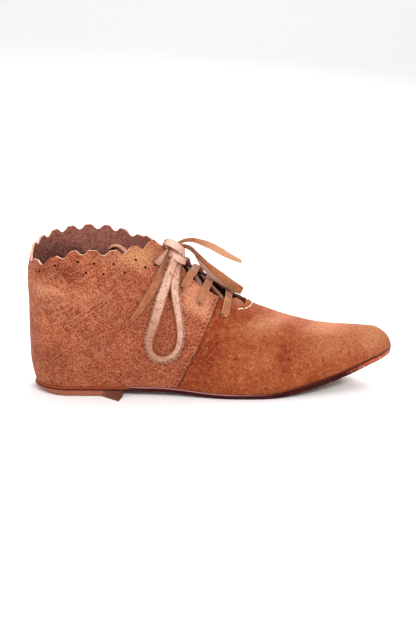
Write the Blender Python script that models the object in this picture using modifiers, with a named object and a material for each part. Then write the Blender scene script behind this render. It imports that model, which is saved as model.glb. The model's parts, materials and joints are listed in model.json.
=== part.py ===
"""A right turnshoe: a hollow leather upper with a scalloped collar, laced over the instep with a flat thong.

The origin is the middle of the heel's resting face. +X points to the toe, +Y to the foot's inner side, +Z up.
Sizes are in millimetres. "along" runs from the heel's back (-HEEL_TURN) to its side (0), then to the toe.
"""

import math

import bmesh
import bpy
import numpy as np
from mathutils import Vector

MM = 0.001
NAME = "turnshoe"
LATERAL, MEDIAL = -1, 1

# Main sizes
HEEL_TURN = 47.0
TOE_TIP = 262.6
SOLE_TIP = 262.2
GAP = 0.3
SEAM_GAP = 0.4
WALL = 2.0
LIFT_THICK = 4.4
TONGUE_THICK = 1.8
THONG_WIDTH = 6.4
THONG_THICK = 1.8

# Sole: its thickness, where the waist starts down, where the ball is flat, how far the toe springs up
SOLE_THICK_HEEL, SOLE_THICK_TOE, THICKER_FROM, THICKER_TO = 2.6, 3.8, 46.0, 62.0
WAIST_DROP, DROP_FROM, DROP_TO = 1.1, 48.5, 61.0
WAIST_FROM, BALL_FROM, BALL_TO = 72.0, 128.0, 158.0
TOE_SPRING, SPRING_POWER = 25.4, 1.47

# Rounding of the toe in plan and in profile, and where the ridge leaves the middle line
TIP_PLAN, TIP_PROFILE = 14.0, 18.0
RIDGE_FROM, RIDGE_AT_TIP, RIDGE_POWER = 70.0, 7.0, 1.3

# The upper turns in under itself at the sole's edge
TUCK, HEEL_TUCK, TUCK_HEIGHT, TUCK_SHARE = 4.5, 2.4, 22.0, 0.45
HEEL_BULGE, BULGE_HEIGHT, BULGE_SPREAD = 2.0, 95.0, 14.0
SIDE_SWELL = 1.5
ROUND_BELOW = 0.95

# Collar scallops
SCALLOP_TOPS = {
    LATERAL: (68.6, 54.1, 39.4, 22.4, 6.6, -8.0, -26.5, -42.0, -55.5),
    MEDIAL: (57.8, 43.3, 29.4, 13.8, -0.6, -13.2, -25.8, -38.5, -52.0),
}
SCALLOP_DEPTH, SCALLOP_SHARE, SCALLOP_POWER = 3.8, 0.33, 1.4
SCALLOP_STATIONS = (0.0, 0.2, 0.33, 0.44, 0.56, 0.67, 0.8)

# Throat: where its round end is, and how long the rounding is
THROAT_END, THROAT_ROUND = 143.0, 12.0
CORNER = {LATERAL: 69.7, MEDIAL: 62.5}

# Lace holes
HOLE_RADIUS, HOLE_SIDES, CUT_DEPTH = 2.4, 12, 7.0

LEVELS = 9
FIRST_STATION = 1.0
THROAT_STATIONS, THROAT_CROWD = 14, 0.35
VAMP_STATIONS = 17
SOLE_ACROSS = 4
TONGUE_STATIONS, TONGUE_ACROSS, TONGUE_CAMBER = 26, 6, 3.4


def table(columns, *rows):
    """A table with named columns, as arrays."""
    return {name: np.array(column, float) for name, column in zip(columns, zip(*rows))}


# The sole's edge, as half widths from the line between heel and toe
OUTLINE = table(
    ("along", "lateral", "medial"),
    (-70, 29.6, 29.6),
    (-47, 29.0, 29.0),
    (-24, 29.6, 29.6),
    (0, 30.2, 30.2),
    (30, 30.4, 28.6),
    (60, 31.0, 26.8),
    (90, 34.0, 30.0),
    (120, 38.5, 39.0),
    (145, 40.0, 45.4),
    (165, 38.6, 46.4),
    (185, 34.2, 43.4),
    (205, 27.4, 37.2),
    (225, 18.8, 29.2),
    (240, 11.0, 22.6),
    (263, 0.0, 13.2),
)

# The top of the foot on each side of the throat, from the front of the ankle to the toe
RIDGE = table(
    ("along", "lateral", "medial"),
    (56, 152, 144),
    (62.5, 147, 140.6),
    (70, 139.2, 135.5),
    (78, 130.2, 129),
    (86, 121, 121),
    (95, 111, 111),
    (106, 101, 101),
    (120, 88.2, 88.2),
    (130, 79.6, 79.6),
    (142, 71.4, 71.4),
    (160, 63.3, 63.3),
    (186, 54.5, 54.5),
    (200, 51.6, 51.6),
    (212, 50, 50),
    (226, 49.2, 49.2),
    (240, 48.4, 48.4),
    (263, 47.6, 47.6),
)

# The collar's scallop tops, from the lateral corner (negative) round the back (0) to the medial corner
COLLAR = table(
    ("round", "half_width", "height"),
    (-116.7, 17, 125.4),
    (-101, 25, 121.6),
    (-86, 31.4, 119.8),
    (-68, 35, 120.8),
    (-53, 34.4, 119.8),
    (-40, 32.8, 115.2),
    (-26, 31.2, 110.6),
    (-12, 30.2, 111.2),
    (0, 29.8, 114.8),
    (20, 31.4, 120.0),
    (32, 33, 123.0),
    (46, 34.2, 125.6),
    (61, 35, 126.8),
    (76, 33.6, 126.4),
    (90, 29, 124.6),
    (103, 21, 121.8),
    (109.5, 17, 120.6),
)

# Half the width of the throat between its facing edges
THROAT = table(
    ("along", "lateral", "medial"),
    (60, 15.6, 15.6),
    (78, 17, 17),
    (95, 19, 16.4),
    (106, 20.2, 15.8),
    (120, 19.8, 15.2),
    (142, 18.2, 13.5),
)

# Lace holes, from the top pair down: place along the shoe and distance under the facing edge
HOLES = table(
    ("lateral", "lateral_down", "medial", "medial_down"),
    (71.5, 16.0, 78.0, 13.0),
    (82.8, 14.5, 97.0, 12.0),
    (92.3, 12.8, 107.5, 12.0),
    (106.0, 12.6, 117.5, 11.0),
    (124.7, 9.8, 131.0, 10.0),
)

# The tongue's middle line, from its sewn end under the vamp to its loose top
TONGUE = table(
    ("x", "z", "half_width"),
    (151, 62.4, 12.0),
    (145, 65.2, 12.0),
    (141, 67.0, 12.2),
    (136, 69.3, 12.6),
    (130, 69.4, 13.6),
    (122, 68.8, 15.0),
    (111, 70.8, 16.4),
    (98, 75.0, 17.5),
    (80, 85.0, 18.5),
    (64, 97.0, 18.0),
    (51, 107.5, 14.0),
    (46.5, 112.4, 10.5),
    (42.5, 115.8, 8.0),
    (38.8, 116.9, 6.5),
    (35.2, 116.0, 5.0),
    (32.8, 113.6, 3.5),
)

# Heel layer: how far it stands out, how it is pared away under its back, its front edge and its loose corner
LIFT_MARGIN, LIFT_UNDERCUT = 0.9, 0.82
LIFT_FRONT = {LATERAL: 43.6, MEDIAL: 48.0}
CORNER_FROM, CORNER_TIP, CORNER_TIP_THICK, CORNER_INSIDE = 25.7, (41.0, -45.0), 1.3, 4.0

# Thongs across the throat: their distance off the leather, and how the inner ones pass under the outer ones
FACING_LEVEL, THROAT_OUT = 0.97, Vector((0.5, 0.0, 0.87))
BAR_OFF, BAR_RISE, BAR_BOW, BAR_LEAN, BAR_STATIONS = 1.6, 0.6, 0.5, 0.27, 17
BAR_LIFT = {1: (2.6, 3.6), 2: (2.4, 2.9), 3: (2.3, 2.5), 4: (2.1, 2.1)}
UNDER_SHORT, UNDER_DEEP, JOIN_DEEP, UNDER_STATIONS = 5.0, 1.0, 1.3, 7

# The bow: its knot, and the thong's routes from it
KNOT_MIDDLE, KNOT_SIZE, KNOT_TURN = Vector((85.0, -9.0, 118.4)), (15.0, 11.0, 11.0), -0.5
KNOT_BEVEL, KNOT_ROUNDS = 0.22, 2
STUB_OFF, STUB_LIFT, STUB_LEVEL, STUB_AHEAD = 1.7, 3.2, 0.6, 2.0
STUB_INSIDE, STUB_SIDE = Vector((-2.0, 0.0, 0.5)), 1.0
STUB_STATIONS, STUB_WIDTH = 8, 0.8
FAR_LOOP_ACROSS, FAR_END_OUT = Vector((0.55, 0.25, 0.8)), Vector((0.2, -0.7, 0.7))
NEAR_LOOP = table(
    ("x", "z", "off"),
    (83.4, 111.0, 6.2),
    (79.0, 95.1, 5.0),
    (72.6, 74.5, 2.6),
    (67.4, 56.3, 2.4),
    (65.4, 45.8, 2.4),
    (68.1, 36.9, 2.4),
    (76.0, 33.4, 2.4),
    (84.3, 36.9, 2.4),
    (89.5, 46.2, 2.4),
    (89.9, 58.0, 2.4),
    (87.0, 75.8, 3.0),
    (84.8, 90.2, 4.6),
    (85.4, 100.0, 4.8),
)
NEAR_END = table(
    ("x", "z", "off"),
    (79.6, 110.5, 2.2),
    (74.3, 98.3, 2.2),
    (66.4, 84.7, 2.2),
    (58.5, 73.0, 2.2),
    (51.4, 64.4, 2.2),
)
FAR_LOOP = table(
    ("x", "y", "z"),
    (95.6, -5.0, 116.6),
    (104.2, -3.5, 109.2),
    (114.7, -2.5, 98.8),
    (126.9, -2.0, 88.6),
    (134.8, -1.5, 82.8),
    (139.0, 1.5, 79.0),
    (136.2, 4.5, 79.2),
    (127.6, 5.0, 84.0),
    (114.7, 4.5, 94.4),
    (104.2, 3.0, 105.4),
    (97.0, 1.5, 113.4),
)
FAR_END = table(
    ("x", "y", "z"),
    (93.5, -1.0, 121.0),
    (97.4, 0.5, 121.2),
    (105.6, 3.0, 119.0),
    (117.7, 6.0, 113.2),
    (128.2, 9.0, 106.4),
    (139.2, 11.0, 100.6),
)


def natural_spline(xs, ys):
    """A smooth curve through the points, as a function."""
    h = np.diff(xs)
    system, right = np.eye(len(xs)), np.zeros(len(xs))
    for i in range(1, len(xs) - 1):
        system[i, i - 1 : i + 2] = h[i - 1], 2 * (h[i - 1] + h[i]), h[i]
        right[i] = 6 * ((ys[i + 1] - ys[i]) / h[i] - (ys[i] - ys[i - 1]) / h[i - 1])
    bend = np.linalg.solve(system, right)

    def value(at):
        i = int(np.clip(np.searchsorted(xs, at) - 1, 0, len(h) - 1))
        b = (at - xs[i]) / h[i]
        a = 1 - b
        curve = (a**3 - a) * bend[i] + (b**3 - b) * bend[i + 1]
        return float(a * ys[i] + b * ys[i + 1] + curve * h[i] ** 2 / 6)

    return value


edge_of = {
    LATERAL: natural_spline(OUTLINE["along"], OUTLINE["lateral"]),
    MEDIAL: natural_spline(OUTLINE["along"], OUTLINE["medial"]),
}
throat_of = {
    LATERAL: natural_spline(THROAT["along"], THROAT["lateral"]),
    MEDIAL: natural_spline(THROAT["along"], THROAT["medial"]),
}
ridge_of = {
    LATERAL: natural_spline(RIDGE["along"], RIDGE["lateral"]),
    MEDIAL: natural_spline(RIDGE["along"], RIDGE["medial"]),
}
collar_width = natural_spline(COLLAR["round"], COLLAR["half_width"])
collar_height = natural_spline(COLLAR["round"], COLLAR["height"])


def ease(value):
    """0 to 1, level at both ends."""
    t = min(1.0, max(0.0, value))
    return t * t * (3 - 2 * t)


def closing(along, end, length):
    """1, falling to 0 at the end as a quarter ellipse does."""
    t = max(0.0, (along - end + length) / length)
    return math.sqrt(max(0.0, 1 - t * t))


def ridge_y(along):
    t = max(0.0, (along - RIDGE_FROM) / (TOE_TIP - RIDGE_FROM))
    return RIDGE_AT_TIP * t**RIDGE_POWER


def sole_bottom(along):
    """Height of the sole's underside: lifted at the heel, flat at the ball, sprung at the toe."""
    heel = LIFT_THICK + GAP
    if along > BALL_TO:
        return TOE_SPRING * ((along - BALL_TO) / (TOE_TIP - BALL_TO)) ** SPRING_POWER
    drop = WAIST_DROP * ease((along - DROP_FROM) / (DROP_TO - DROP_FROM))
    return (heel - drop) * (1 - ease((along - WAIST_FROM) / (BALL_FROM - WAIST_FROM)))


def sole_thick(along):
    share = ease((along - THICKER_FROM) / (THICKER_TO - THICKER_FROM))
    return SOLE_THICK_HEEL + (SOLE_THICK_TOE - SOLE_THICK_HEEL) * share


def feather_height(along):
    """Height of the upper's lower edge."""
    return sole_bottom(along) + sole_thick(along) + SEAM_GAP


def sole_width(side, along, tip=TOE_TIP):
    """Half width of the sole from the ridge line."""
    width = edge_of[side](along) - side * ridge_y(along)
    return width * closing(along, tip, TIP_PLAN)


def in_plan(side, along, out):
    """Place in plan, out millimetres from the ridge line, or from the heel's middle behind along 0."""
    if along >= 0:
        return along, ridge_y(along) + side * out
    turn = -along / HEEL_TURN * math.pi / 2
    return -out * math.sin(turn), side * out * math.cos(turn)


def scallop_drop(side, along):
    """How far the collar's edge is cut down from its scallop tops."""
    for top, following in zip(SCALLOP_TOPS[side], SCALLOP_TOPS[side][1:]):
        if following < along <= top:
            share = abs((top - along) / (top - following) - 0.5) / SCALLOP_SHARE
            return SCALLOP_DEPTH * max(0.0, 1 - share * share) ** SCALLOP_POWER
    return 0.0


def top_edge(side, along):
    """Half width from the ridge line and height of the upper's top, and how far a scallop cuts it down."""
    if along < CORNER[side]:
        place = side * (along + HEEL_TURN)
        return collar_width(place), collar_height(place), scallop_drop(side, along)
    half = throat_of[side](along) * closing(along, THROAT_END, THROAT_ROUND)
    bottom = feather_height(along)
    rise = (ridge_of[side](along) - bottom) * closing(along, TOE_TIP, TIP_PROFILE)
    share = half / wall_width(side, along) if half > 0 else 0.0
    return half, bottom + rise * math.sqrt(1 - share * share), 0.0


def tuck_in(along):
    """How far the upper turns in at the sole: less behind the heel, nothing at the toe's tip."""
    turn = TUCK + (HEEL_TUCK - TUCK) * ease(-along / HEEL_TURN)
    return turn * closing(along, TOE_TIP, TIP_PLAN)


def wall_width(side, along):
    return sole_width(side, along) + tuck_in(along)


def upper_point(side, along, level, scalloped=True):
    """A point of the upper's outside: level 0 is at the sole, level 1 at the top edge."""
    bottom, wide = feather_height(along), wall_width(side, along)
    top_wide, top, drop = top_edge(side, along)
    height = top - bottom
    cut = drop / max(height, 1.0) if scalloped else 0.0
    narrow = top_wide / max(wide, 0.01)
    if narrow < ROUND_BELOW:
        last = math.acos(narrow)
        angle = level * math.asin(math.sin(last) * (1 - cut))
        out, rise = wide * math.cos(angle), height * math.sin(angle) / math.sin(last)
    else:
        share = level * (1 - cut)
        out, rise = wide + (top_wide - wide) * share * share, height * share
    tuck_height = min(TUCK_HEIGHT, TUCK_SHARE * height) + 0.01
    out -= tuck_in(along) * max(0.0, 1 - rise / tuck_height) ** 2
    heel = ease(1 - (along + HEEL_TURN / 2) / HEEL_TURN)
    out += heel * HEEL_BULGE * math.exp(-(((bottom + rise - BULGE_HEIGHT) / BULGE_SPREAD) ** 2))
    quarter = ease((CORNER[side] - along) / CORNER[side])
    out += quarter * SIDE_SWELL * math.sin(math.pi * min(1.0, rise / max(height, 1.0)))
    x, y = in_plan(side, along, out)
    return Vector((x, y, bottom + rise))


def upper_normal(side, along, level):
    """The direction straight out of the upper."""
    d = 0.02
    up = upper_point(side, along, level + d, False) - upper_point(side, along, level - d, False)
    forward = upper_point(side, along + 0.5, level, False) - upper_point(side, along - 0.5, level, False)
    return (up.cross(forward) * side).normalized()


def level_at_height(side, along, height):
    """The level at which the upper's outside has this height."""
    low, high = 0.0, 1.0
    for _ in range(30):
        middle = (low + high) / 2
        if upper_point(side, along, middle, False).z < height:
            low = middle
        else:
            high = middle
    return (low + high) / 2


def side_stations(side):
    """Places along one side, from the back of the heel to the toe's tip."""
    pairs = zip(SCALLOP_TOPS[side], SCALLOP_TOPS[side][1:])
    places = [top - (top - following) * part for top, following in pairs for part in SCALLOP_STATIONS]
    places = [q for q in places if q > FIRST_STATION - HEEL_TURN]
    places = [-HEEL_TURN] + places[::-1] + [CORNER[side]]
    for n in range(THROAT_STATIONS):
        t = (n + 1) / THROAT_STATIONS
        crowded = (1 + THROAT_CROWD) * t - THROAT_CROWD * t * t
        places.append(CORNER[side] + (THROAT_END - CORNER[side]) * crowded)
    for n in range(VAMP_STATIONS):
        t = (n + 1) / VAMP_STATIONS
        places.append(THROAT_END + (TOE_TIP - THROAT_END) * math.sin(t * math.pi / 2))
    return places


def material(name, colour, roughness):
    made = bpy.data.materials.new(name)
    made.use_nodes = True
    shader = made.node_tree.nodes["Principled BSDF"]
    shader.inputs["Base Color"].default_value = (*colour, 1)
    shader.inputs["Roughness"].default_value = roughness
    shader.inputs["Metallic"].default_value = 0.0
    return made


def finish_mesh(bm, name, group, made):
    """Turn a bmesh in millimetres into a named object."""
    bmesh.ops.scale(bm, vec=(MM, MM, MM), verts=bm.verts)
    data = bpy.data.meshes.new(name)
    bm.to_mesh(data)
    bm.free()
    data.materials.append(made)
    thing = bpy.data.objects.new(name, data)
    group.objects.link(thing)
    return thing


def grid(columns, rows, place):
    """A surface of columns by rows of points, each put where place(column, row) says."""
    bm = bmesh.new()
    bmesh.ops.create_grid(bm, x_segments=columns - 1, y_segments=rows - 1, size=0.5)
    for vert in bm.verts:
        column, row = round((vert.co.x + 0.5) * (columns - 1)), round((vert.co.y + 0.5) * (rows - 1))
        vert.co = place(column, row)
    bmesh.ops.remove_doubles(bm, verts=bm.verts, dist=0.02)
    return bm


def thicken(thing, thickness, offset):
    """Give an open surface its thickness: offset -1 or 1 puts it on one side of the surface, 0 on both."""
    made = thing.modifiers.new("thickness", "SOLIDIFY")
    made.thickness, made.offset = thickness * MM, offset
    return made


def add_boolean(thing, operation, collection):
    made = thing.modifiers.new(operation.lower(), "BOOLEAN")
    made.operation, made.solver = operation, "EXACT"
    made.operand_type, made.collection = "COLLECTION", collection


def hole_place(side, number):
    """Middle of a lace hole on the upper's outside, and the direction out of it."""
    column = "lateral" if side == LATERAL else "medial"
    along = float(HOLES[column][number])
    height = top_edge(side, along)[1] - float(HOLES[column + "_down"][number])
    level = level_at_height(side, along, height)
    return upper_point(side, along, level), upper_normal(side, along, level), along, level


def make_upper(group, cutters, made):
    sides = {side: side_stations(side) for side in (LATERAL, MEDIAL)}
    columns = [(LATERAL, q) for q in reversed(sides[LATERAL])] + [(MEDIAL, q) for q in sides[MEDIAL][1:]]

    def place(column, row):
        side, along = columns[column]
        return upper_point(side, along, row / LEVELS)

    shell = finish_mesh(grid(len(columns), LEVELS + 1, place), "upper", group, made)
    thicken(shell, WALL, 1)
    for side in (LATERAL, MEDIAL):
        for number in range(len(HOLES["lateral"])):
            middle, out, _, _ = hole_place(side, number)
            bm = bmesh.new()
            turn = out.to_track_quat("Z", "Y").to_matrix().to_4x4()
            bmesh.ops.create_cone(
                bm,
                cap_ends=True,
                segments=HOLE_SIDES,
                radius1=HOLE_RADIUS,
                radius2=HOLE_RADIUS,
                depth=CUT_DEPTH,
                matrix=turn,
            )
            bmesh.ops.translate(bm, vec=middle, verts=bm.verts)
            punch = finish_mesh(bm, f"punch_{number}_{side}", cutters, made)
            punch.display_type, punch.hide_render = "WIRE", True
    add_boolean(shell, "DIFFERENCE", cutters)
    return shell


def sole_point(along, across):
    """A point of the sole's top: across runs from -1 at the lateral edge to 1 at the medial edge."""
    side = LATERAL if across < 0 else MEDIAL
    x, y = in_plan(side, along, abs(across) * sole_width(side, along, SOLE_TIP))
    if along < 0:
        x, y_edge = in_plan(side, along, sole_width(side, along))
        y = abs(across) * y_edge
    return Vector((x, y, sole_bottom(along) + sole_thick(along)))


def make_sole(group, made):
    stations = enumerate(side_stations(LATERAL))
    places = [q for n, q in stations if (n % 2 == 0 or q > BALL_FROM) and q < SOLE_TIP - 1] + [SOLE_TIP]

    def place(column, row):
        return sole_point(places[column], 2 * row / SOLE_ACROSS - 1)

    bm = grid(len(places), SOLE_ACROSS + 1, place)
    under = bmesh.ops.extrude_face_region(bm, geom=bm.faces[:])["geom"]
    for vert in under:
        if isinstance(vert, bmesh.types.BMVert):
            vert.co.z -= sole_thick(vert.co.x)
    bmesh.ops.recalc_face_normals(bm, faces=bm.faces)
    return finish_mesh(bm, "sole", group, made)


def flat_plate(outline, thick, name, group, made):
    """A plate with this outline, standing on the floor."""
    curve = bpy.data.curves.new(name, "CURVE")
    curve.dimensions, curve.fill_mode = "2D", "BOTH"
    curve.extrude = thick * MM / 2
    spline = curve.splines.new("POLY")
    spline.points.add(len(outline) - 1)
    for point, (x, y) in zip(spline.points, outline):
        point.co = (x * MM, y * MM, 0, 1)
    spline.use_cyclic_u = True
    rough = bpy.data.objects.new(name, curve)
    data = bpy.data.meshes.new_from_object(rough)
    bpy.data.objects.remove(rough)
    data.materials.append(made)
    plate = bpy.data.objects.new(name, data)
    for vert in data.vertices:
        vert.co.z += thick * MM / 2
    bm = bmesh.new()
    bm.from_mesh(data)
    bmesh.ops.remove_doubles(bm, verts=bm.verts, dist=0.00001)
    bm.to_mesh(data)
    bm.free()
    group.objects.link(plate)
    return plate


def make_heel_lift(group, joins, made):
    outline = []
    for side in (LATERAL, MEDIAL):
        places = [q for q in side_stations(side)[::3] if q < LIFT_FRONT[side] - 2] + [LIFT_FRONT[side]]
        half = [in_plan(side, q, sole_width(side, q) + LIFT_MARGIN) for q in places]
        outline += half[::-1] if side == LATERAL else half[1:]
    lift = flat_plate(outline, LIFT_THICK, "heel_lift", group, made)
    for vert in lift.data.vertices:
        if vert.co.z < LIFT_THICK * MM / 2 and vert.co.x < 0:
            vert.co.x *= LIFT_UNDERCUT
    bm = bmesh.new()
    for along in (CORNER_FROM, LIFT_FRONT[LATERAL]):
        for deep in (0.0, CORNER_INSIDE):
            x, y = in_plan(LATERAL, along, sole_width(LATERAL, along) + LIFT_MARGIN - deep)
            for z in (0, LIFT_THICK):
                bm.verts.new((x, y, z))
    for z in (0, CORNER_TIP_THICK):
        bm.verts.new((*CORNER_TIP, z))
    bmesh.ops.convex_hull(bm, input=bm.verts)
    corner = finish_mesh(bm, "loose_corner", joins, made)
    corner.display_type, corner.hide_render = "WIRE", True
    add_boolean(lift, "UNION", joins)
    return lift


def spread_along(points, values, count):
    """The values that belong to the points, smoothly spread along the route through the points."""
    steps = [(b - a).length for a, b in zip(points, points[1:])]
    along = np.concatenate([[0.0], np.cumsum(steps)])
    curves = [natural_spline(along, np.array(column)) for column in zip(*values)]
    return [Vector([curve(at) for curve in curves]) for at in np.linspace(0, along[-1], count)]


def thong(points, faces, count, widths=(1.0, 1.0)):
    """A flat strip along the points, its face turned to the faces; widths are shares at its two ends."""
    line, out = spread_along(points, points, count), spread_along(points, faces, count)

    def place(column, row):
        ahead = line[min(column + 1, count - 1)] - line[max(column - 1, 0)]
        across = ahead.cross(out[column]).normalized()
        share = widths[0] + (widths[1] - widths[0]) * column / (count - 1)
        return line[column] + across * (row - 0.5) * THONG_WIDTH * share

    return grid(count, 2, place)


def strip(points, faces, count, name, group, made, widths=(1.0, 1.0)):
    thing = finish_mesh(thong(points, faces, count, widths), name, group, made)
    thicken(thing, THONG_THICK, 0)
    return thing


def beside(side, along, height, off):
    """A point off the upper's outside, and the direction out of the upper there."""
    level = level_at_height(side, along, height)
    out = upper_normal(side, along, level)
    return upper_point(side, along, level, False) + out * off, out


def facing_point(side, along, lift):
    """A point a little above the throat's facing edge, and the direction out of the upper there."""
    out = upper_normal(side, along, FACING_LEVEL)
    return upper_point(side, along, FACING_LEVEL, False) + out * lift, out


def over_route(number):
    """Route of a thong outside the upper, from a lateral lace hole over the throat to its medial one."""
    near, near_out, start, _ = hole_place(LATERAL, number)
    far, far_out, end, _ = hole_place(MEDIAL, number)
    first, first_out = facing_point(LATERAL, start + BAR_LEAN * (end - start), BAR_LIFT[number][0])
    last, last_out = facing_point(MEDIAL, end - BAR_LEAN * (end - start), BAR_LIFT[number][1])
    middle = (first + last) / 2 + Vector((0, 0, BAR_RISE))
    points = [near + near_out * BAR_OFF]
    points += [(near + near_out * BAR_OFF + first) / 2 + near_out * BAR_BOW, first, middle, last]
    points += [(far + far_out * BAR_OFF + last) / 2 + far_out * BAR_BOW, far + far_out * BAR_OFF]
    between = first_out + last_out
    between.y = 0
    faces = [near_out, (near_out + first_out) / 2, first_out, between.normalized(), last_out]
    faces += [(far_out + last_out) / 2, far_out]
    return points, faces


def make_crossing(number, group, made):
    """An outer thong over the throat, joined to the inner thong that crosses under it."""
    points, faces = over_route(number)
    bar = strip(points, faces, BAR_STATIONS, f"lace_cross_{number}", group, made)
    joins = bpy.data.collections.new(f"under_{number}")
    bpy.context.scene.collection.children.link(joins)
    ends = []
    for side, hole in ((LATERAL, number + 1), (MEDIAL, number - 1)):
        along = hole_place(side, hole)[2]
        half, height, _ = top_edge(side, along)
        ends.append(Vector((along, ridge_y(along) + side * (half - UNDER_SHORT), height - UNDER_DEEP)))
    first, last = points[2], points[4]
    over, under = last - first, ends[1] - ends[0]
    turn = over.x * under.y - over.y * under.x
    start = ends[0] - first
    crossing = first + over * ((start.x * under.y - start.y * under.x) / turn)
    crossing.z += BAR_RISE - JOIN_DEEP
    faces = [THROAT_OUT] * 3
    inner = strip([ends[0], crossing, ends[1]], faces, UNDER_STATIONS, f"under_{number}", joins, made)
    inner.display_type, inner.hide_render = "WIRE", True
    add_boolean(bar, "UNION", joins)
    return bar


def make_knot(group, joins, made):
    """The bow's knot, with the two short strands that go from it to the top pair of holes."""
    bm = bmesh.new()
    bmesh.ops.create_cube(bm, size=1.0)
    rounds = {"segments": KNOT_ROUNDS, "profile": 0.5, "affect": "EDGES"}
    bmesh.ops.bevel(bm, geom=bm.edges[:], offset=KNOT_BEVEL, **rounds)
    bmesh.ops.scale(bm, vec=KNOT_SIZE, verts=bm.verts)
    turn = Vector((math.cos(KNOT_TURN), 0, math.sin(KNOT_TURN))).to_track_quat("X", "Z").to_matrix()
    bmesh.ops.rotate(bm, cent=(0, 0, 0), matrix=turn, verts=bm.verts)
    bmesh.ops.translate(bm, vec=KNOT_MIDDLE, verts=bm.verts)
    knot = finish_mesh(bm, "lace_knot", group, made)
    for side in (LATERAL, MEDIAL):
        middle, out, along, level = hole_place(side, 0)
        above, ahead = level + (1 - level) * STUB_LEVEL, along + STUB_AHEAD
        points = [middle + out * STUB_OFF]
        points.append(upper_point(side, ahead, above, False) + upper_normal(side, ahead, above) * STUB_LIFT)
        points.append(KNOT_MIDDLE + STUB_INSIDE + Vector((0, side * STUB_SIDE, 0)))
        faces = [out, out, (out + Vector((0, 0, 1))).normalized()]
        stub = strip(points, faces, STUB_STATIONS, f"stub_{side}", joins, made, (STUB_WIDTH, STUB_WIDTH))
        stub.display_type, stub.hide_render = "WIRE", True
    add_boolean(knot, "UNION", joins)


def make_near_strip(name, route, count, widths, group, made):
    """A loop or end that hangs down the upper's lateral side."""
    places = [beside(LATERAL, *row) for row in zip(route["x"], route["z"], route["off"])]
    strip([p for p, _ in places], [n for _, n in places], count, name, group, made, widths)


def make_far_loop(count, widths, group, made):
    """The loop that lies forward over the throat, its width across the route all along."""
    points = [Vector(row) for row in zip(FAR_LOOP["x"], FAR_LOOP["y"], FAR_LOOP["z"])]
    ways = [b - a for a, b in zip(points, points[1:])]
    faces = [way.cross(FAR_LOOP_ACROSS).normalized() for way in ways + ways[-1:]]
    strip(points, faces, count, "lace_loop_far", group, made, widths)


def make_far_end(count, widths, group, made):
    points = [Vector(row) for row in zip(FAR_END["x"], FAR_END["y"], FAR_END["z"])]
    strip(points, [FAR_END_OUT] * len(points), count, "lace_end_far", group, made, widths)


def make_tongue(group, made):
    line = [Vector((x, 0, z)) for x, z in zip(TONGUE["x"], TONGUE["z"])]
    rows = list(zip(TONGUE["x"], TONGUE["half_width"], TONGUE["z"]))
    places = spread_along(line, rows, TONGUE_STATIONS)

    def place(column, row):
        share = 2 * row / TONGUE_ACROSS - 1
        x, half, z = places[column]
        return Vector((x, share * half, z - TONGUE_CAMBER * share * share))

    tongue = finish_mesh(grid(TONGUE_STATIONS, TONGUE_ACROSS + 1, place), "tongue", group, made)
    thicken(tongue, TONGUE_THICK, 0)
    return tongue


def main():
    for thing in list(bpy.data.objects):
        bpy.data.objects.remove(thing)
    group = bpy.data.collections.new(NAME)
    bpy.context.scene.collection.children.link(group)
    helpers = {}
    for name in ("punches", "corner", "stubs"):
        helpers[name] = bpy.data.collections.new(name)
        bpy.context.scene.collection.children.link(helpers[name])
    upper_leather = material("upper_leather", (0.43, 0.16, 0.07), 0.6)
    sole_leather = material("sole_leather", (0.16, 0.035, 0.03), 0.45)
    lift_leather = material("lift_leather", (0.50, 0.24, 0.15), 0.7)
    tongue_leather = material("tongue_leather", (0.36, 0.15, 0.08), 0.7)
    thong_leather = material("thong_leather", (0.45, 0.21, 0.11), 0.75)
    make_upper(group, helpers["punches"], upper_leather)
    make_sole(group, sole_leather)
    make_heel_lift(group, helpers["corner"], lift_leather)
    make_tongue(group, tongue_leather)
    for number in (1, 2, 3):
        make_crossing(number, group, thong_leather)
    strip(*over_route(4), BAR_STATIONS, "lace_bar", group, thong_leather)
    make_knot(group, helpers["stubs"], thong_leather)
    make_near_strip("lace_loop_near", NEAR_LOOP, 40, (0.8, 0.8), group, thong_leather)
    make_near_strip("lace_end_near", NEAR_END, 12, (1.0, 0.45), group, thong_leather)
    make_far_loop(32, (0.9, 0.9), group, thong_leather)
    make_far_end(14, (0.9, 0.6), group, thong_leather)


if __name__ == "__main__":
    main()
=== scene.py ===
"""Looks of a right turnshoe: grained leather, burnished sole, raw heel layer, tongue and a tied thong.

The frame is the solids' own: the origin is the middle of the heel's resting face, +X points to the toe,
+Y to the foot's inner side, +Z up. Sizes are in millimetres until a mesh is made.
"""

import json
import math

import bmesh
import bpy
import numpy as np
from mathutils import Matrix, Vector, kdtree, noise

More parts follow.
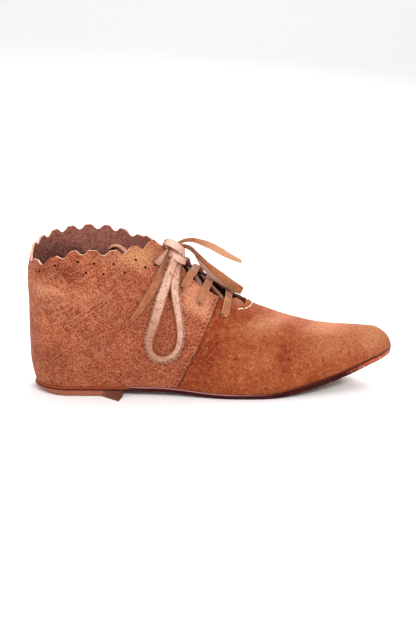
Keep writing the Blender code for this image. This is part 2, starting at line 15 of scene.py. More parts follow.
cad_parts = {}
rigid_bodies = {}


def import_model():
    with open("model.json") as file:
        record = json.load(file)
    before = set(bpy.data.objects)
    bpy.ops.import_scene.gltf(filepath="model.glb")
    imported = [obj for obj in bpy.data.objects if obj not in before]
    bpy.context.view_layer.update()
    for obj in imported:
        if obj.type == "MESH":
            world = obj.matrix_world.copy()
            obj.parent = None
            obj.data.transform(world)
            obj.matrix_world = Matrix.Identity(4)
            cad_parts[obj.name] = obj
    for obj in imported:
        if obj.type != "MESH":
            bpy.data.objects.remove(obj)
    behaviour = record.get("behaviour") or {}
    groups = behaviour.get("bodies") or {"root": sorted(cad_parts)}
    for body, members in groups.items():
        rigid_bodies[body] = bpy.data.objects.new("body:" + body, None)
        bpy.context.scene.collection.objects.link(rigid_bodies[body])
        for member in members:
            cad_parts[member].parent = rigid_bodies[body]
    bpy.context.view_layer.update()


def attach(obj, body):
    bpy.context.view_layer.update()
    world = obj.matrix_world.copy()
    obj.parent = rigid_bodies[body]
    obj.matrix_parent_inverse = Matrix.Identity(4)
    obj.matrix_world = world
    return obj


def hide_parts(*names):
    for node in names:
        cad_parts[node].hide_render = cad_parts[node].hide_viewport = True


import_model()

bl_info = {
    "name": "Turnshoe looks",
    "version": (1, 0, 0),
    "blender": (4, 5, 0),
    "location": "View3D > Sidebar > Turnshoe",
    "description": "Dresses the turnshoe's solids in leather and sets it on a studio floor",
    "category": "Object",
}

MM = 0.001
LATERAL, BOTH, MEDIAL = -1, 0, 1

# Main sizes, as in the solids
HEEL_TURN, TOE_TIP, SOLE_TIP = 47.0, 262.6, 262.2
GAP, SEAM_GAP, WALL, LIFT_THICK = 0.3, 0.4, 2.0, 4.4
TONGUE_THICK, THONG_WIDTH, THONG_THICK = 1.8, 6.4, 1.8
SOLE_THICK_HEEL, SOLE_THICK_TOE, THICKER_FROM, THICKER_TO = 2.6, 3.8, 46.0, 62.0
WAIST_DROP, DROP_FROM, DROP_TO = 1.1, 48.5, 61.0
WAIST_FROM, BALL_FROM, BALL_TO = 72.0, 128.0, 158.0
TOE_SPRING, SPRING_POWER = 25.4, 1.47
TIP_PLAN, TIP_PROFILE = 14.0, 18.0
RIDGE_FROM, RIDGE_AT_TIP, RIDGE_POWER = 70.0, 7.0, 1.3
TUCK, HEEL_TUCK, TUCK_HEIGHT, TUCK_SHARE = 4.5, 2.4, 22.0, 0.45
HEEL_BULGE, BULGE_HEIGHT, BULGE_SPREAD = 2.0, 95.0, 14.0
SIDE_SWELL, ROUND_BELOW = 1.5, 0.95
SCALLOP_TOPS = {
    LATERAL: (68.6, 54.1, 39.4, 22.4, 6.6, -8.0, -26.5, -42.0, -55.5),
    MEDIAL: (57.8, 43.3, 29.4, 13.8, -0.6, -13.2, -25.8, -38.5, -52.0),
}
SCALLOP_DEPTH, SCALLOP_SHARE, SCALLOP_POWER = 3.8, 0.33, 1.4
THROAT_END, THROAT_ROUND = 143.0, 12.0
CORNER = {LATERAL: 69.7, MEDIAL: 62.5}
LIFT_MARGIN, LIFT_UNDERCUT = 0.9, 0.82
LIFT_FRONT = {LATERAL: 43.6, MEDIAL: 48.0}
CORNER_FROM, CORNER_TIP = 25.7, (41.0, -45.0)
TONGUE_CAMBER = 3.4

# Thongs over the throat and the bow, as in the solids
FACING_LEVEL, THROAT_OUT = 0.97, Vector((0.5, 0.0, 0.87))
BAR_OFF, BAR_RISE, BAR_BOW, BAR_LEAN = 1.6, 0.6, 0.5, 0.27
BAR_LIFT = {1: (2.6, 3.6), 2: (2.4, 2.9), 3: (2.3, 2.5), 4: (2.1, 2.1)}
UNDER_SHORT, UNDER_DEEP, JOIN_DEEP = 5.0, 1.0, 1.3
KNOT_MIDDLE = Vector((85.0, -9.0, 118.4))
FAR_LOOP_ACROSS, FAR_END_OUT = Vector((0.55, 0.25, 0.8)), Vector((0.2, -0.7, 0.7))

# Fineness of the shapes and meshes, and the angles in degrees past which an edge is sharp
LEVEL_STEP, ALONG_STEP, HALVINGS = 0.02, 0.5, 30
COLLAR_STEPS, THROAT_STEPS, VAMP_STEPS, UPPER_ROWS = 110, 54, 70, 76
THROAT_CROWD, TIP_CLEAR, FRONT_CLEAR, WELD = 0.35, 0.3, 1.0, 0.02
THONG_STEP, THONG_SECTION, THONG_RINGS = 0.9, 18, 8
TONGUE_STEPS, TONGUE_ACROSS = 110, 24
UPPER_SHARP, SOLE_SHARP, THONG_SHARP = 45, 40, 60

# Punched holes: lace holes a little tighter than the solids', and pinholes that stop inside the wall
HOLE_RADIUS, HOLE_SIDES, CUT_DEPTH = 2.2, 20, 7.0
PIN_RADIUS, PIN_SIDES, PIT_DEPTH = 1.0, 10, 2.4
HOLE_SLOT = 3

# The seam between quarter and vamp leans: its place along the shoe at the floor, and how it moves with height
SEAM_AT_FLOOR, SEAM_LEAN = 84.0, 0.475

# Unevenness of the worn upper: broad waves, finer ripples, and the quarter lapped over the vamp
WAVE_SCALE, WAVE_RISE, RIPPLE_SCALE, RIPPLE_RISE, SIDES_APART = 0.03, 0.5, 3.1, 0.22, 3.0
LAP_RISE, LAP_BACK, LAP_RUN, LAP_EDGE, LAP_DROP = 0.45, 7.0, 5.0, 0.8, 1.2
TOE_FADE, FOOT_FADE, VAMP_FADE, VAMP_FADE_BACK = 12.0, 0.06, 0.08, 3.0
BURNISH_HEIGHT = 4.0

# The heel layer's front edge, as shares of its half width, and its loose corner
FRONT_SHARES = {MEDIAL: (0.65, 0.3), LATERAL: (0.3, 0.65)}
CORNER_BASE, CORNER_FALL, CORNER_TOP, CORNER_NAP, PARED_SHARE = 31.5, 0.85, 0.94, 4.0, 0.85

# The thong's waver in width and in thickness, as share, rate and layer of noise, its section and its seeds
WIDTH_WAVER, THICK_WAVER = (0.05, 0.21, 1.7), (0.12, 0.17, 5.1)
ACROSS_POWER, OUT_POWER = 0.4, 0.65
BAR_SEED, UNDER_SEED, TURN_SEED, STRAND_SEED = 3.3, 7.1, 5.0, 2.2

# Thongs at their holes: how the mouth sits in the hole, and how the thong narrows and turns into it
MOUTH_LOW, MOUTH_DEEP, MOUTH_STEP, HALF_TURNED = 0.4, 3.6, 0.8, 0.6
HOLE_WIDTHS = (0.6, 0.66, 0.95)
# Shades of painted light along the bars and the inner thongs, from highlight (negative) to shade; the inner
# thongs are painted deep in shade
BAR_SHADES, UNDER_SHADES = (-0.25, -0.25, 0.3, 0.5, 0.3), (0.8, 0.95, 1.0)
UNDER_BELOW, UNDER_SAG, UNDER_INSIDE = 2.6, 2.2, 1.6

# Loose fibres of the near loop: their number, spacing, length, and share of the length with radius there
WHISKERS, WHISKER_SPACING, WHISKER_CROWD = 420, 0.618034, 0.9
WHISKER_SHORT, WHISKER_LONGER, WHISKER_LEAN = 0.9, 2.6, 2.2
WHISKER_ROOT, WHISKER_ROOT_SPREAD, WHISKER_DEPTH = 0.38, 0.08, 0.9
WHISKER_SECTIONS, WHISKER_TURNS = ((0.0, 0.22), (0.6, 0.18), (1.0, 0.07)), (0.0, 2.1, 4.2)
WHISKER_MARK, WHISKER_DRAW = (0.0, -1.0, -0.5), (1.37, 9.1, 2.3)

# The tongue: a slight curl, flatter on its far side near the throat's end, flatter and leaning at its top
TONGUE_CURL, CURL_ALONG, CURL_ACROSS, CURL_LAYER, TONGUE_ROUNDING = 0.4, 0.06, 2.0, 4.0, 0.5
FLAT_FROM, FLAT_RUN, FLAT_SHARE = 118, 14, 0.85
TOP_FROM, TOP_RUN, TOP_FLATTER, TONGUE_LEAN = 0.62, 0.2, 0.65, 2.2


def table(columns, *rows):
    """A table with named columns, as arrays."""
    return {name: np.array(column, float) for name, column in zip(columns, zip(*rows))}


OUTLINE = table(
    ("along", "lateral", "medial"),
    (-70, 29.6, 29.6),
    (-47, 29.0, 29.0),
    (-24, 29.6, 29.6),
    (0, 30.2, 30.2),
    (30, 30.4, 28.6),
    (60, 31.0, 26.8),
    (90, 34.0, 30.0),
    (120, 38.5, 39.0),
    (145, 40.0, 45.4),
    (165, 38.6, 46.4),
    (185, 34.2, 43.4),
    (205, 27.4, 37.2),
    (225, 18.8, 29.2),
    (240, 11.0, 22.6),
    (263, 0.0, 13.2),
)
RIDGE = table(
    ("along", "lateral", "medial"),
    (56, 152, 144),
    (62.5, 147, 140.6),
    (70, 139.2, 135.5),
    (78, 130.2, 129),
    (86, 121, 121),
    (95, 111, 111),
    (106, 101, 101),
    (120, 88.2, 88.2),
    (130, 79.6, 79.6),
    (142, 71.4, 71.4),
    (160, 63.3, 63.3),
    (186, 54.5, 54.5),
    (200, 51.6, 51.6),
    (212, 50, 50),
    (226, 49.2, 49.2),
    (240, 48.4, 48.4),
    (263, 47.6, 47.6),
)
COLLAR = table(
    ("round", "half_width", "height"),
    (-116.7, 17, 125.4),
    (-101, 25, 121.6),
    (-86, 31.4, 119.8),
    (-68, 35, 120.8),
    (-53, 34.4, 119.8),
    (-40, 32.8, 115.2),
    (-26, 31.2, 110.6),
    (-12, 30.2, 111.2),
    (0, 29.8, 114.8),
    (20, 31.4, 120.0),
    (32, 33, 123.0),
    (46, 34.2, 125.6),
    (61, 35, 126.8),
    (76, 33.6, 126.4),
    (90, 29, 124.6),
    (103, 21, 121.8),
    (109.5, 17, 120.6),
)
THROAT = table(
    ("along", "lateral", "medial"),
    (60, 15.6, 15.6),
    (78, 17, 17),
    (95, 19, 16.4),
    (106, 20.2, 15.8),
    (120, 19.8, 15.2),
    (142, 18.2, 13.5),
)
HOLES = table(
    ("lateral", "lateral_down", "medial", "medial_down"),
    (71.5, 16.0, 78.0, 13.0),
    (82.8, 14.5, 97.0, 12.0),
    (92.3, 12.8, 107.5, 12.0),
    (106.0, 12.6, 117.5, 11.0),
    (124.7, 9.8, 131.0, 10.0),
)
TONGUE = table(
    ("x", "z", "half_width"),
    (151, 62.4, 12.0),
    (145, 65.2, 12.0),
    (141, 67.0, 12.2),
    (136, 69.3, 12.6),
    (130, 69.4, 13.6),
    (122, 68.8, 15.0),
    (111, 70.8, 16.4),
    (98, 75.0, 17.5),
    (80, 85.0, 18.5),
    (64, 97.0, 18.0),
    (51, 107.5, 14.0),
    (46.5, 112.4, 10.5),
    (42.5, 115.8, 8.0),
    (38.8, 116.9, 6.5),
    (35.2, 116.0, 5.0),
    (32.8, 113.6, 3.5),
)

# The bow's routes, as in the solids
NEAR_LOOP = table(
    ("x", "z", "off"),
    (83.4, 111.0, 6.2),
    (79.0, 95.1, 5.0),
    (72.6, 74.5, 2.6),
    (67.4, 56.3, 2.4),
    (65.4, 45.8, 2.4),
    (68.1, 36.9, 2.4),
    (76.0, 33.4, 2.4),
    (84.3, 36.9, 2.4),
    (89.5, 46.2, 2.4),
    (89.9, 58.0, 2.4),
    (87.0, 75.8, 3.0),
    (84.8, 90.2, 4.6),
    (85.4, 100.0, 4.8),
)
NEAR_END = table(
    ("x", "z", "off"),
    (79.6, 110.5, 2.2),
    (74.3, 98.3, 2.2),
    (66.4, 84.7, 2.2),
    (58.5, 73.0, 2.2),
    (51.4, 64.4, 2.2),
)
FAR_LOOP = table(
    ("x", "y", "z"),
    (95.6, -5.0, 116.6),
    (104.2, -3.5, 109.2),
    (114.7, -2.5, 98.8),
    (126.9, -2.0, 88.6),
    (134.8, -1.5, 82.8),
    (139.0, 1.5, 79.0),
    (136.2, 4.5, 79.2),
    (127.6, 5.0, 84.0),
    (114.7, 4.5, 94.4),
    (104.2, 3.0, 105.4),
    (97.0, 1.5, 113.4),
)
FAR_END = table(
    ("x", "y", "z"),
    (93.5, -1.0, 121.0),
    (97.4, 0.5, 121.2),
    (105.6, 3.0, 119.0),
    (117.7, 6.0, 113.2),
    (128.2, 9.0, 106.4),
    (139.2, 11.0, 100.6),
)

# Turns of the knot, from its middle: each row is a point of the thong and the way its face looks
KNOT_OVER = table(
    ("x", "y", "z", "face_x", "face_y", "face_z"),
    (-4.1, 6.0, 0.6, -0.5, 0.7, 0.5),
    (-6.3, 1.0, 3.0, -0.8, 0.0, 0.6),
    (-4.2, -5.5, 4.6, -0.4, -0.7, 0.6),
    (-0.6, -8.5, 3.7, -0.1, -0.95, 0.3),
    (3.4, -9.5, 0.9, 0.1, -1.0, 0.15),
    (6.5, -8.5, -2.5, 0.4, -0.9, 0.2),
    (8.0, -4.0, -6.9, 0.8, -0.5, 0.3),
)
KNOT_UNDER = table(
    ("x", "y", "z", "face_x", "face_y", "face_z"),
    (-3.5, -4.0, -4.4, -0.9, 0.1, 0.1),
    (-2.0, -11.0, -3.5, -0.8, -0.5, 0.1),
    (0.8, -15.6, -4.6, -0.3, -0.95, 0.1),
    (3.6, -16.4, -6.1, 0.0, -1.0, 0.2),
    (6.6, -15.4, -8.1, 0.4, -0.9, 0.1),
    (8.4, -11.5, -10.0, 0.9, -0.4, 0.1),
    (8.0, -6.0, -11.2, 1.0, 0.3, 0.0),
)
KNOT_BACK = table(
    ("x", "y", "z", "face_x", "face_y", "face_z"),
    (-3.3, 4.0, 0.6, -0.4, 0.8, 0.4),
    (-7.4, 1.0, 2.2, -1.0, 0.0, 0.2),
    (-7.8, -3.4, 0.0, -0.8, -0.6, 0.0),
    (-5.5, -6.0, -2.6, -0.5, -0.9, 0.0),
)

# Each turn of the knot: its rows, share of the thong's width, whether its flesh side shows, and its shades of
# painted light, from highlight (negative) to shade
KNOT_TURNS = (
    (KNOT_OVER, 0.98, True, (0.5, 0.0, -0.7, -0.9, -0.6, -0.2, 0.6)),
    (KNOT_UNDER, 0.86, True, (0.8, 0.3, -0.3, -0.5, -0.3, 0.3, 0.8)),
    (KNOT_BACK, 1.0, False, (0.3, 0.0, 0.3)),
)
KNOT_CORE, CORE_PLACE = (5.6, 7.5, 4.6), Vector((0.8, -4.0, -2.5))
CORE_LUMPY, CORE_LUMPS = 0.12, 2.0

# Strands from the knot into the top pair of holes: their bow, the end on the medial side, facing and looks:
# widths, and shades of painted light
STRAND_BOW, STRAND_END, STRAND_OUT = 1.6, (-2.6, 6.0, -2.2), Vector((-0.3, 0.0, 0.6))
STRAND_WIDTHS, STRAND_SHADES = (0.5, 0.62, 1.0, 1.05, 0.9), (0.9, 0.7, 0.3, 0.2, 0.5)

# Loops and ends along their length: shares of the thong's width, shades of painted light from highlight
# (negative) to shade, slides sideways
BOW_WIDTHS = {
    "near_loop": (0.95, 1.1, 1.28, 1.25, 0.85, 0.66, 0.8, 0.95, 1.0, 0.95),
    "near_end": (1.0, 1.0, 1.05, 0.95, 0.8, 0.4),
    "far_loop": (0.5, 0.55, 0.65, 1.0, 1.05, 0.8, 0.9, 0.9, 0.45, 0.4),
    "far_end": (0.45, 0.5, 0.7, 0.95, 1.05, 1.0, 0.75, 0.42),
}
BOW_SHADES = {
    "near_loop": (0.9, 0.1, 0.0, 0.25, 0.6, 0.72, 0.7, 0.5, 0.25, 0.1, 0.0, 0.2, 0.9),
    "near_end": (0.9, 0.5, 0.2, 0.1, 0.0, 0.1),
    "far_loop": (0.7, 0.55, 0.25, -0.1, -0.25, 0.3, 0.1, -0.8, -0.9, 0.2, 0.7),
    "far_end": (0.2, 0.1, -0.5, -0.8, -0.8, -0.7),
}
BOW_SLIDES = {
    "near_loop": (0.0, -0.4, -0.9, -0.9, -0.2, 0.0, 0.0, 0.0, 0.0, 0.0),
    "far_loop": (0.0, 0.0, 0.0, 0.0, 0.0, 0.2, 1.3, 1.8, 0.4, -1.6, -1.0),
}
BOW_SEEDS = {"near_loop": 9.0, "near_end": 8.0, "far_loop": 8.0, "far_end": 11.0}

# Where the loops and ends start inside the knot, from its middle
KNOT_INSIDE = {
    "near_loop": (2.0, -7.0, -1.0),
    "near_loop_back": (3.5, -8.0, -7.5),
    "near_end": (-1.5, -5.0, -3.0),
    "far_loop": (3.5, 1.5, 0.0),
    "far_loop_back": (5.0, 4.0, -1.5),
    "far_end": (3.5, 4.0, 1.2),
}

# Stitches round the throat's end, as angles from straight ahead: the near side is negative
STITCH_AHEAD, STITCH_BESIDE, STITCH_RADIUS, STITCH_POINTS = 4.6, 1.6, 0.52, 7
STITCH_LIFT, STITCH_DIVE, STITCH_TAPER, STITCH_LEVEL, STITCH_BEHIND = 0.55, 1.6, 0.35, 0.96, 2.0
STITCHES = table(
    ("from", "to"),
    (-73, -54),
    (-51, -39),
    (-36, -20),
    (-17, -3),
    (1, 16),
    (20, 36),
    (40, 54),
    (58, 74),
)

# Edges of the sole and the heel layer from the top down: how far in from the outline, and share of the height
SOLE_PROFILE = table(
    ("in", "share"),
    (2.4, 1.0),
    (0.9, 1.0),
    (0.25, 0.97),
    (0.0, 0.84),
    (0.15, 0.45),
    (0.0, 0.14),
    (0.5, 0.0),
)
LIFT_PROFILE = table(("in", "share"), (0.7, 1.0), (0.1, 0.9), (0.0, 0.7), (0.1, 0.3), (0.2, 0.12), (0.8, 0.0))

# The sole's top is inside the shoe where it is further in than this
SOLE_INSIDE = 2

# Pinholes under the collar's scallops
PINHOLES = table(
    ("along", "height"),
    (-6.3, 108.2),
    (10.8, 111.8),
    (23.4, 110.2),
    (38.3, 109.3),
    (55.4, 111.3),
    (-19.5, 102.1),
    (2.9, 105.5),
    (17.0, 103.0),
    (30.5, 101.8),
    (46.9, 102.0),
    (62.8, 105.1),
)

# Soft troughs (negative) and ridges of the worn leather: middle, direction, half sizes and height
CREASES = table(
    ("side", "along", "height", "run_along", "run_height", "half_long", "half_wide", "rise"),
    (LATERAL, 5, 101, 8, -14, 13, 6, -1.6),
    (LATERAL, -8, 97, 10, 3, 14, 5, -1.1),
    (LATERAL, -12, 87, 16, 10, 12, 3.0, 0.9),
    (LATERAL, 24, 84, 12, -5, 12, 2.2, -0.35),
    (LATERAL, 34, 78, 14, -5, 14, 1.8, -0.35),
    (LATERAL, 40, 72, 14, -4, 12, 1.8, -0.3),
    (LATERAL, 46, 79, 10, -2, 10, 1.6, -0.3),
    (LATERAL, 30, 90, 12, 3, 14, 3.0, 0.4),
    (LATERAL, 172, 35, 4, -20, 15, 5, -1.2),
    (LATERAL, 183, 33, 3, -18, 12, 5, 0.5),
    (LATERAL, 158, 40, 6, -18, 14, 5, 0.5),
    (LATERAL, -12, 35, 14, -2, 10, 3.5, -0.5),
    (LATERAL, -14, 27, 6, -6, 8, 3.5, -0.4),
    (MEDIAL, 8, 104, 10, -12, 13, 6, -1.3),
    (MEDIAL, 28, 86, 12, 4, 16, 3, -0.6),
    (MEDIAL, 40, 74, 12, 5, 14, 2.4, -0.5),
    (MEDIAL, 170, 34, 3, -18, 15, 6, -1.2),
    (MEDIAL, 182, 30, 3, -18, 12, 5, 0.5),
    (MEDIAL, 60, 52, 10, 6, 16, 5, -0.6),
)

# Places where the leather is paler (positive tone) or darker, and redder, than around: stains and tone, with
# a painted highlight along the vamp's top and painted shade of the near loop on the quarter
STAINS_AND_PAINTED_LIGHT = table(
    ("side", "along", "height", "half_along", "half_height", "tone", "red"),
    (LATERAL, 3, 102, 12, 10, -0.85, 1.0),
    (LATERAL, -12, 104, 12, 6, -0.35, 0.7),
    (LATERAL, -14, 88, 16, 7, 0.8, -0.3),
    (LATERAL, 22, 84, 22, 8, 0.5, 0.2),
    (LATERAL, 40, 26, 40, 12, -0.25, 0.5),
    (LATERAL, 86, 24, 12, 12, -0.3, 0.4),
    (LATERAL, 58, 114, 20, 12, 0.95, -0.6),
    (LATERAL, 28, 112, 20, 6, 0.25, -0.3),
    (LATERAL, 36, 62, 24, 20, -0.15, 0.5),
    (LATERAL, -8, 34, 14, 9, -0.7, 0.5),
    (LATERAL, -14, 24, 8, 6, -0.4, 0.3),
    (LATERAL, 34, 36, 22, 14, 0.35, 0.2),
    (LATERAL, 74, 48, 16, 16, -0.2, 0.6),
    # The next two rows are painted shade of the near loop: on the quarter inside it, and beside its right
    # strand
    (LATERAL, 78, 58, 8, 20, -0.35, 0.2),
    (LATERAL, 83, 86, 4, 10, -0.6, 0.0),
    (LATERAL, 102, 80, 11, 11, 1.75, 0.0),
    (LATERAL, 110, 68, 6, 10, 0.8, 0.3),
    (LATERAL, 134.5, 34, 2.2, 1.4, -1.4, 0.0),
    (LATERAL, 173, 33, 6, 16, -1.0, 0.3),
    (LATERAL, 114, 34, 14, 26, -0.6, 0.5),
    (BOTH, 152, 54, 20, 9, 0.5, -0.5),
    (LATERAL, 150, 30, 12, 8, 0.4, -0.2),
    (BOTH, 205, 38, 24, 12, 0.5, -0.6),
    (BOTH, 248, 42, 20, 14, 0.8, -0.5),
    (BOTH, 143, 64, 5, 4, -0.2, 1.2),
    # The next two rows are a painted highlight along the vamp's top
    (BOTH, 208, 50, 20, 4, 0.9, 0.0),
    (BOTH, 172, 58, 22, 4, 0.75, 0.0),
    (MEDIAL, 8, 104, 14, 10, -0.5, 0.6),
    (MEDIAL, 34, 30, 30, 14, -0.4, 0.5),
    (MEDIAL, 52, 110, 16, 10, 0.6, -0.5),
    (MEDIAL, 20, 60, 26, 14, 0.4, 0.2),
    (MEDIAL, 140, 30, 16, 12, 0.5, -0.3),
    (MEDIAL, 112, 36, 10, 22, -0.5, 0.5),
    (MEDIAL, 40, 80, 20, 12, 0.35, 0.0),
    (MEDIAL, 170, 34, 8, 14, -0.7, 0.2),
    (MEDIAL, 110, 60, 16, 20, -0.3, 0.3),
    (MEDIAL, -6, 34, 14, 9, -0.5, 0.3),
)


def natural_spline(xs, ys):
    """A smooth curve through the points, as a function."""
    h = np.diff(xs)
    system, right = np.eye(len(xs)), np.zeros(len(xs))
    for i in range(1, len(xs) - 1):
        system[i, i - 1 : i + 2] = h[i - 1], 2 * (h[i - 1] + h[i]), h[i]
        right[i] = 6 * ((ys[i + 1] - ys[i]) / h[i] - (ys[i] - ys[i - 1]) / h[i - 1])
    bend = np.linalg.solve(system, right)

    def value(at):
        i = int(np.clip(np.searchsorted(xs, at) - 1, 0, len(h) - 1))
        b = (at - xs[i]) / h[i]
        a = 1 - b
        curve = (a**3 - a) * bend[i] + (b**3 - b) * bend[i + 1]
        return float(a * ys[i] + b * ys[i + 1] + curve * h[i] ** 2 / 6)

    return value


SIDES = ((LATERAL, "lateral"), (MEDIAL, "medial"))
edge_of = {side: natural_spline(OUTLINE["along"], OUTLINE[name]) for side, name in SIDES}
throat_of = {side: natural_spline(THROAT["along"], THROAT[name]) for side, name in SIDES}
ridge_of = {side: natural_spline(RIDGE["along"], RIDGE[name]) for side, name in SIDES}
collar_width = natural_spline(COLLAR["round"], COLLAR["half_width"])
collar_height = natural_spline(COLLAR["round"], COLLAR["height"])


def ease(value):
    """0 to 1, level at both ends."""
    t = min(1.0, max(0.0, value))
    return t * t * (3 - 2 * t)


def closing(along, end, length):
    """1, falling to 0 at the end as a quarter ellipse does."""
    t = max(0.0, (along - end + length) / length)
    return math.sqrt(max(0.0, 1 - t * t))


def ridge_y(along):
    """Where the ridge line lies across the shoe: it swings to the inner side at the toe."""
    t = max(0.0, (along - RIDGE_FROM) / (TOE_TIP - RIDGE_FROM))
    return RIDGE_AT_TIP * t**RIDGE_POWER


def sole_bottom(along):
    """Height of the sole's underside: lifted at the heel, flat at the ball, sprung at the toe."""
    heel = LIFT_THICK + GAP
    if along > BALL_TO:
        return TOE_SPRING * ((along - BALL_TO) / (TOE_TIP - BALL_TO)) ** SPRING_POWER
    drop = WAIST_DROP * ease((along - DROP_FROM) / (DROP_TO - DROP_FROM))
    return (heel - drop) * (1 - ease((along - WAIST_FROM) / (BALL_FROM - WAIST_FROM)))


def sole_thick(along):
    """Thickness of the sole: thinner over the heel layer."""
    share = ease((along - THICKER_FROM) / (THICKER_TO - THICKER_FROM))
    return SOLE_THICK_HEEL + (SOLE_THICK_TOE - SOLE_THICK_HEEL) * share


def feather_height(along):
    """Height of the upper's lower edge."""
    return sole_bottom(along) + sole_thick(along) + SEAM_GAP


def sole_width(side, along, tip=TOE_TIP):
    """Half width of the sole from the ridge line."""
    width = edge_of[side](along) - side * ridge_y(along)
    return width * closing(along, tip, TIP_PLAN)


def in_plan(side, along, out):
    """Place in plan, out millimetres from the ridge line, or from the heel's middle behind along 0."""
    if along >= 0:
        return along, ridge_y(along) + side * out
    turn = -along / HEEL_TURN * math.pi / 2
    return -out * math.sin(turn), side * out * math.cos(turn)


def scallop_drop(side, along):
    """How far the collar's edge is cut down from its scallop tops."""
    for top, following in zip(SCALLOP_TOPS[side], SCALLOP_TOPS[side][1:]):
        if following < along <= top:
            share = abs((top - along) / (top - following) - 0.5) / SCALLOP_SHARE
            return SCALLOP_DEPTH * max(0.0, 1 - share * share) ** SCALLOP_POWER
    return 0.0


def top_edge(side, along):
    """Half width from the ridge line and height of the upper's top, and how far a scallop cuts it down."""
    if along < CORNER[side]:
        place = side * (along + HEEL_TURN)
        return collar_width(place), collar_height(place), scallop_drop(side, along)
    half = throat_of[side](along) * closing(along, THROAT_END, THROAT_ROUND)
    bottom = feather_height(along)
    rise = (ridge_of[side](along) - bottom) * closing(along, TOE_TIP, TIP_PROFILE)
    share = half / wall_width(side, along) if half > 0 else 0.0
    return half, bottom + rise * math.sqrt(1 - share * share), 0.0


def tuck_in(along):
    """How far the upper turns in at the sole: less behind the heel, nothing at the toe's tip."""
    turn = TUCK + (HEEL_TUCK - TUCK) * ease(-along / HEEL_TURN)
    return turn * closing(along, TOE_TIP, TIP_PLAN)


def wall_width(side, along):
    """Half width of the upper above its tucked-in lower edge."""
    return sole_width(side, along) + tuck_in(along)


def upper_point(side, along, level, scalloped=True):
    """A point of the upper's outside: level 0 is at the sole, level 1 at the top edge."""
    bottom, wide = feather_height(along), wall_width(side, along)
    top_wide, top, drop = top_edge(side, along)
    height = top - bottom
    cut = drop / max(height, 1.0) if scalloped else 0.0
    narrow = top_wide / max(wide, 0.01)
    if narrow < ROUND_BELOW:
        last = math.acos(narrow)
        angle = level * math.asin(math.sin(last) * (1 - cut))
        out, rise = wide * math.cos(angle), height * math.sin(angle) / math.sin(last)
    else:
        share = level * (1 - cut)
        out, rise = wide + (top_wide - wide) * share * share, height * share
    tuck_height = min(TUCK_HEIGHT, TUCK_SHARE * height) + 0.01
    out -= tuck_in(along) * max(0.0, 1 - rise / tuck_height) ** 2
    heel = ease(1 - (along + HEEL_TURN / 2) / HEEL_TURN)
    out += heel * HEEL_BULGE * math.exp(-(((bottom + rise - BULGE_HEIGHT) / BULGE_SPREAD) ** 2))
    quarter = ease((CORNER[side] - along) / CORNER[side])
    out += quarter * SIDE_SWELL * math.sin(math.pi * min(1.0, rise / max(height, 1.0)))
    x, y = in_plan(side, along, out)
    return Vector((x, y, bottom + rise))


def upper_normal(side, along, level):
    """The direction straight out of the upper."""
    d, e = LEVEL_STEP, ALONG_STEP
    up = upper_point(side, along, level + d, False) - upper_point(side, along, level - d, False)
    forward = upper_point(side, along + e, level, False) - upper_point(side, along - e, level, False)
    return (up.cross(forward) * side).normalized()


def level_where(side, along, wanted, measure):
    """The level at which a rising measure of the upper's outside reaches the wanted value."""
    low, high = 0.0, 1.0
    for _ in range(HALVINGS):
        middle = (low + high) / 2
        if measure(upper_point(side, along, middle, False)) < wanted:
            low = middle
        else:
            high = middle
    return (low + high) / 2


def level_at_height(side, along, height):
    """The level at which the upper's outside is this high."""
    return level_where(side, along, height, lambda point: point.z)


def beside(side, along, height, off):
    """A point off the upper's outside, and the direction out of the upper there."""
    level = level_at_height(side, along, height)
    out = upper_normal(side, along, level)
    return upper_point(side, along, level, False) + out * off, out


def hole_place(side, number):
    """Middle of a lace hole on the upper's outside, and the direction out of it."""
    column = dict(SIDES)[side]
    along = float(HOLES[column][number])
    height = top_edge(side, along)[1] - float(HOLES[column + "_down"][number])
    level = level_at_height(side, along, height)
    return upper_point(side, along, level), upper_normal(side, along, level), along, level


class Signal:
    """A socket of a finish. Arithmetic on it adds Math nodes."""

    def __init__(self, finish, socket):
        self.finish, self.socket = finish, socket

    def math(self, operation, *values):
        return self.finish.node("ShaderNodeMath", {"operation": operation}, dict(enumerate(values)))

    def __add__(self, other):
        return self.math("ADD", self, other)

    def __sub__(self, other):
        return self.math("SUBTRACT", self, other)

    def __rsub__(self, other):
        return self.math("SUBTRACT", other, self)

    def __mul__(self, other):
        return self.math("MULTIPLY", self, other)

    def __truediv__(self, other):
        return self.math("DIVIDE", self, other)

    def __abs__(self):
        return self.math("ABSOLUTE", self)

    __radd__, __rmul__ = __add__, __mul__

    def wrap(self):
        """What is left over after the whole number."""
        return self.math("FRACT", self)

    def step(self, low, high):
        """0 below low, 1 above high, smooth between. With low above high it falls instead."""
        sockets = {"Value": self, "From Min": low, "From Max": high}
        return self.finish.node("ShaderNodeMapRange", {"interpolation_type": "SMOOTHSTEP"}, sockets)


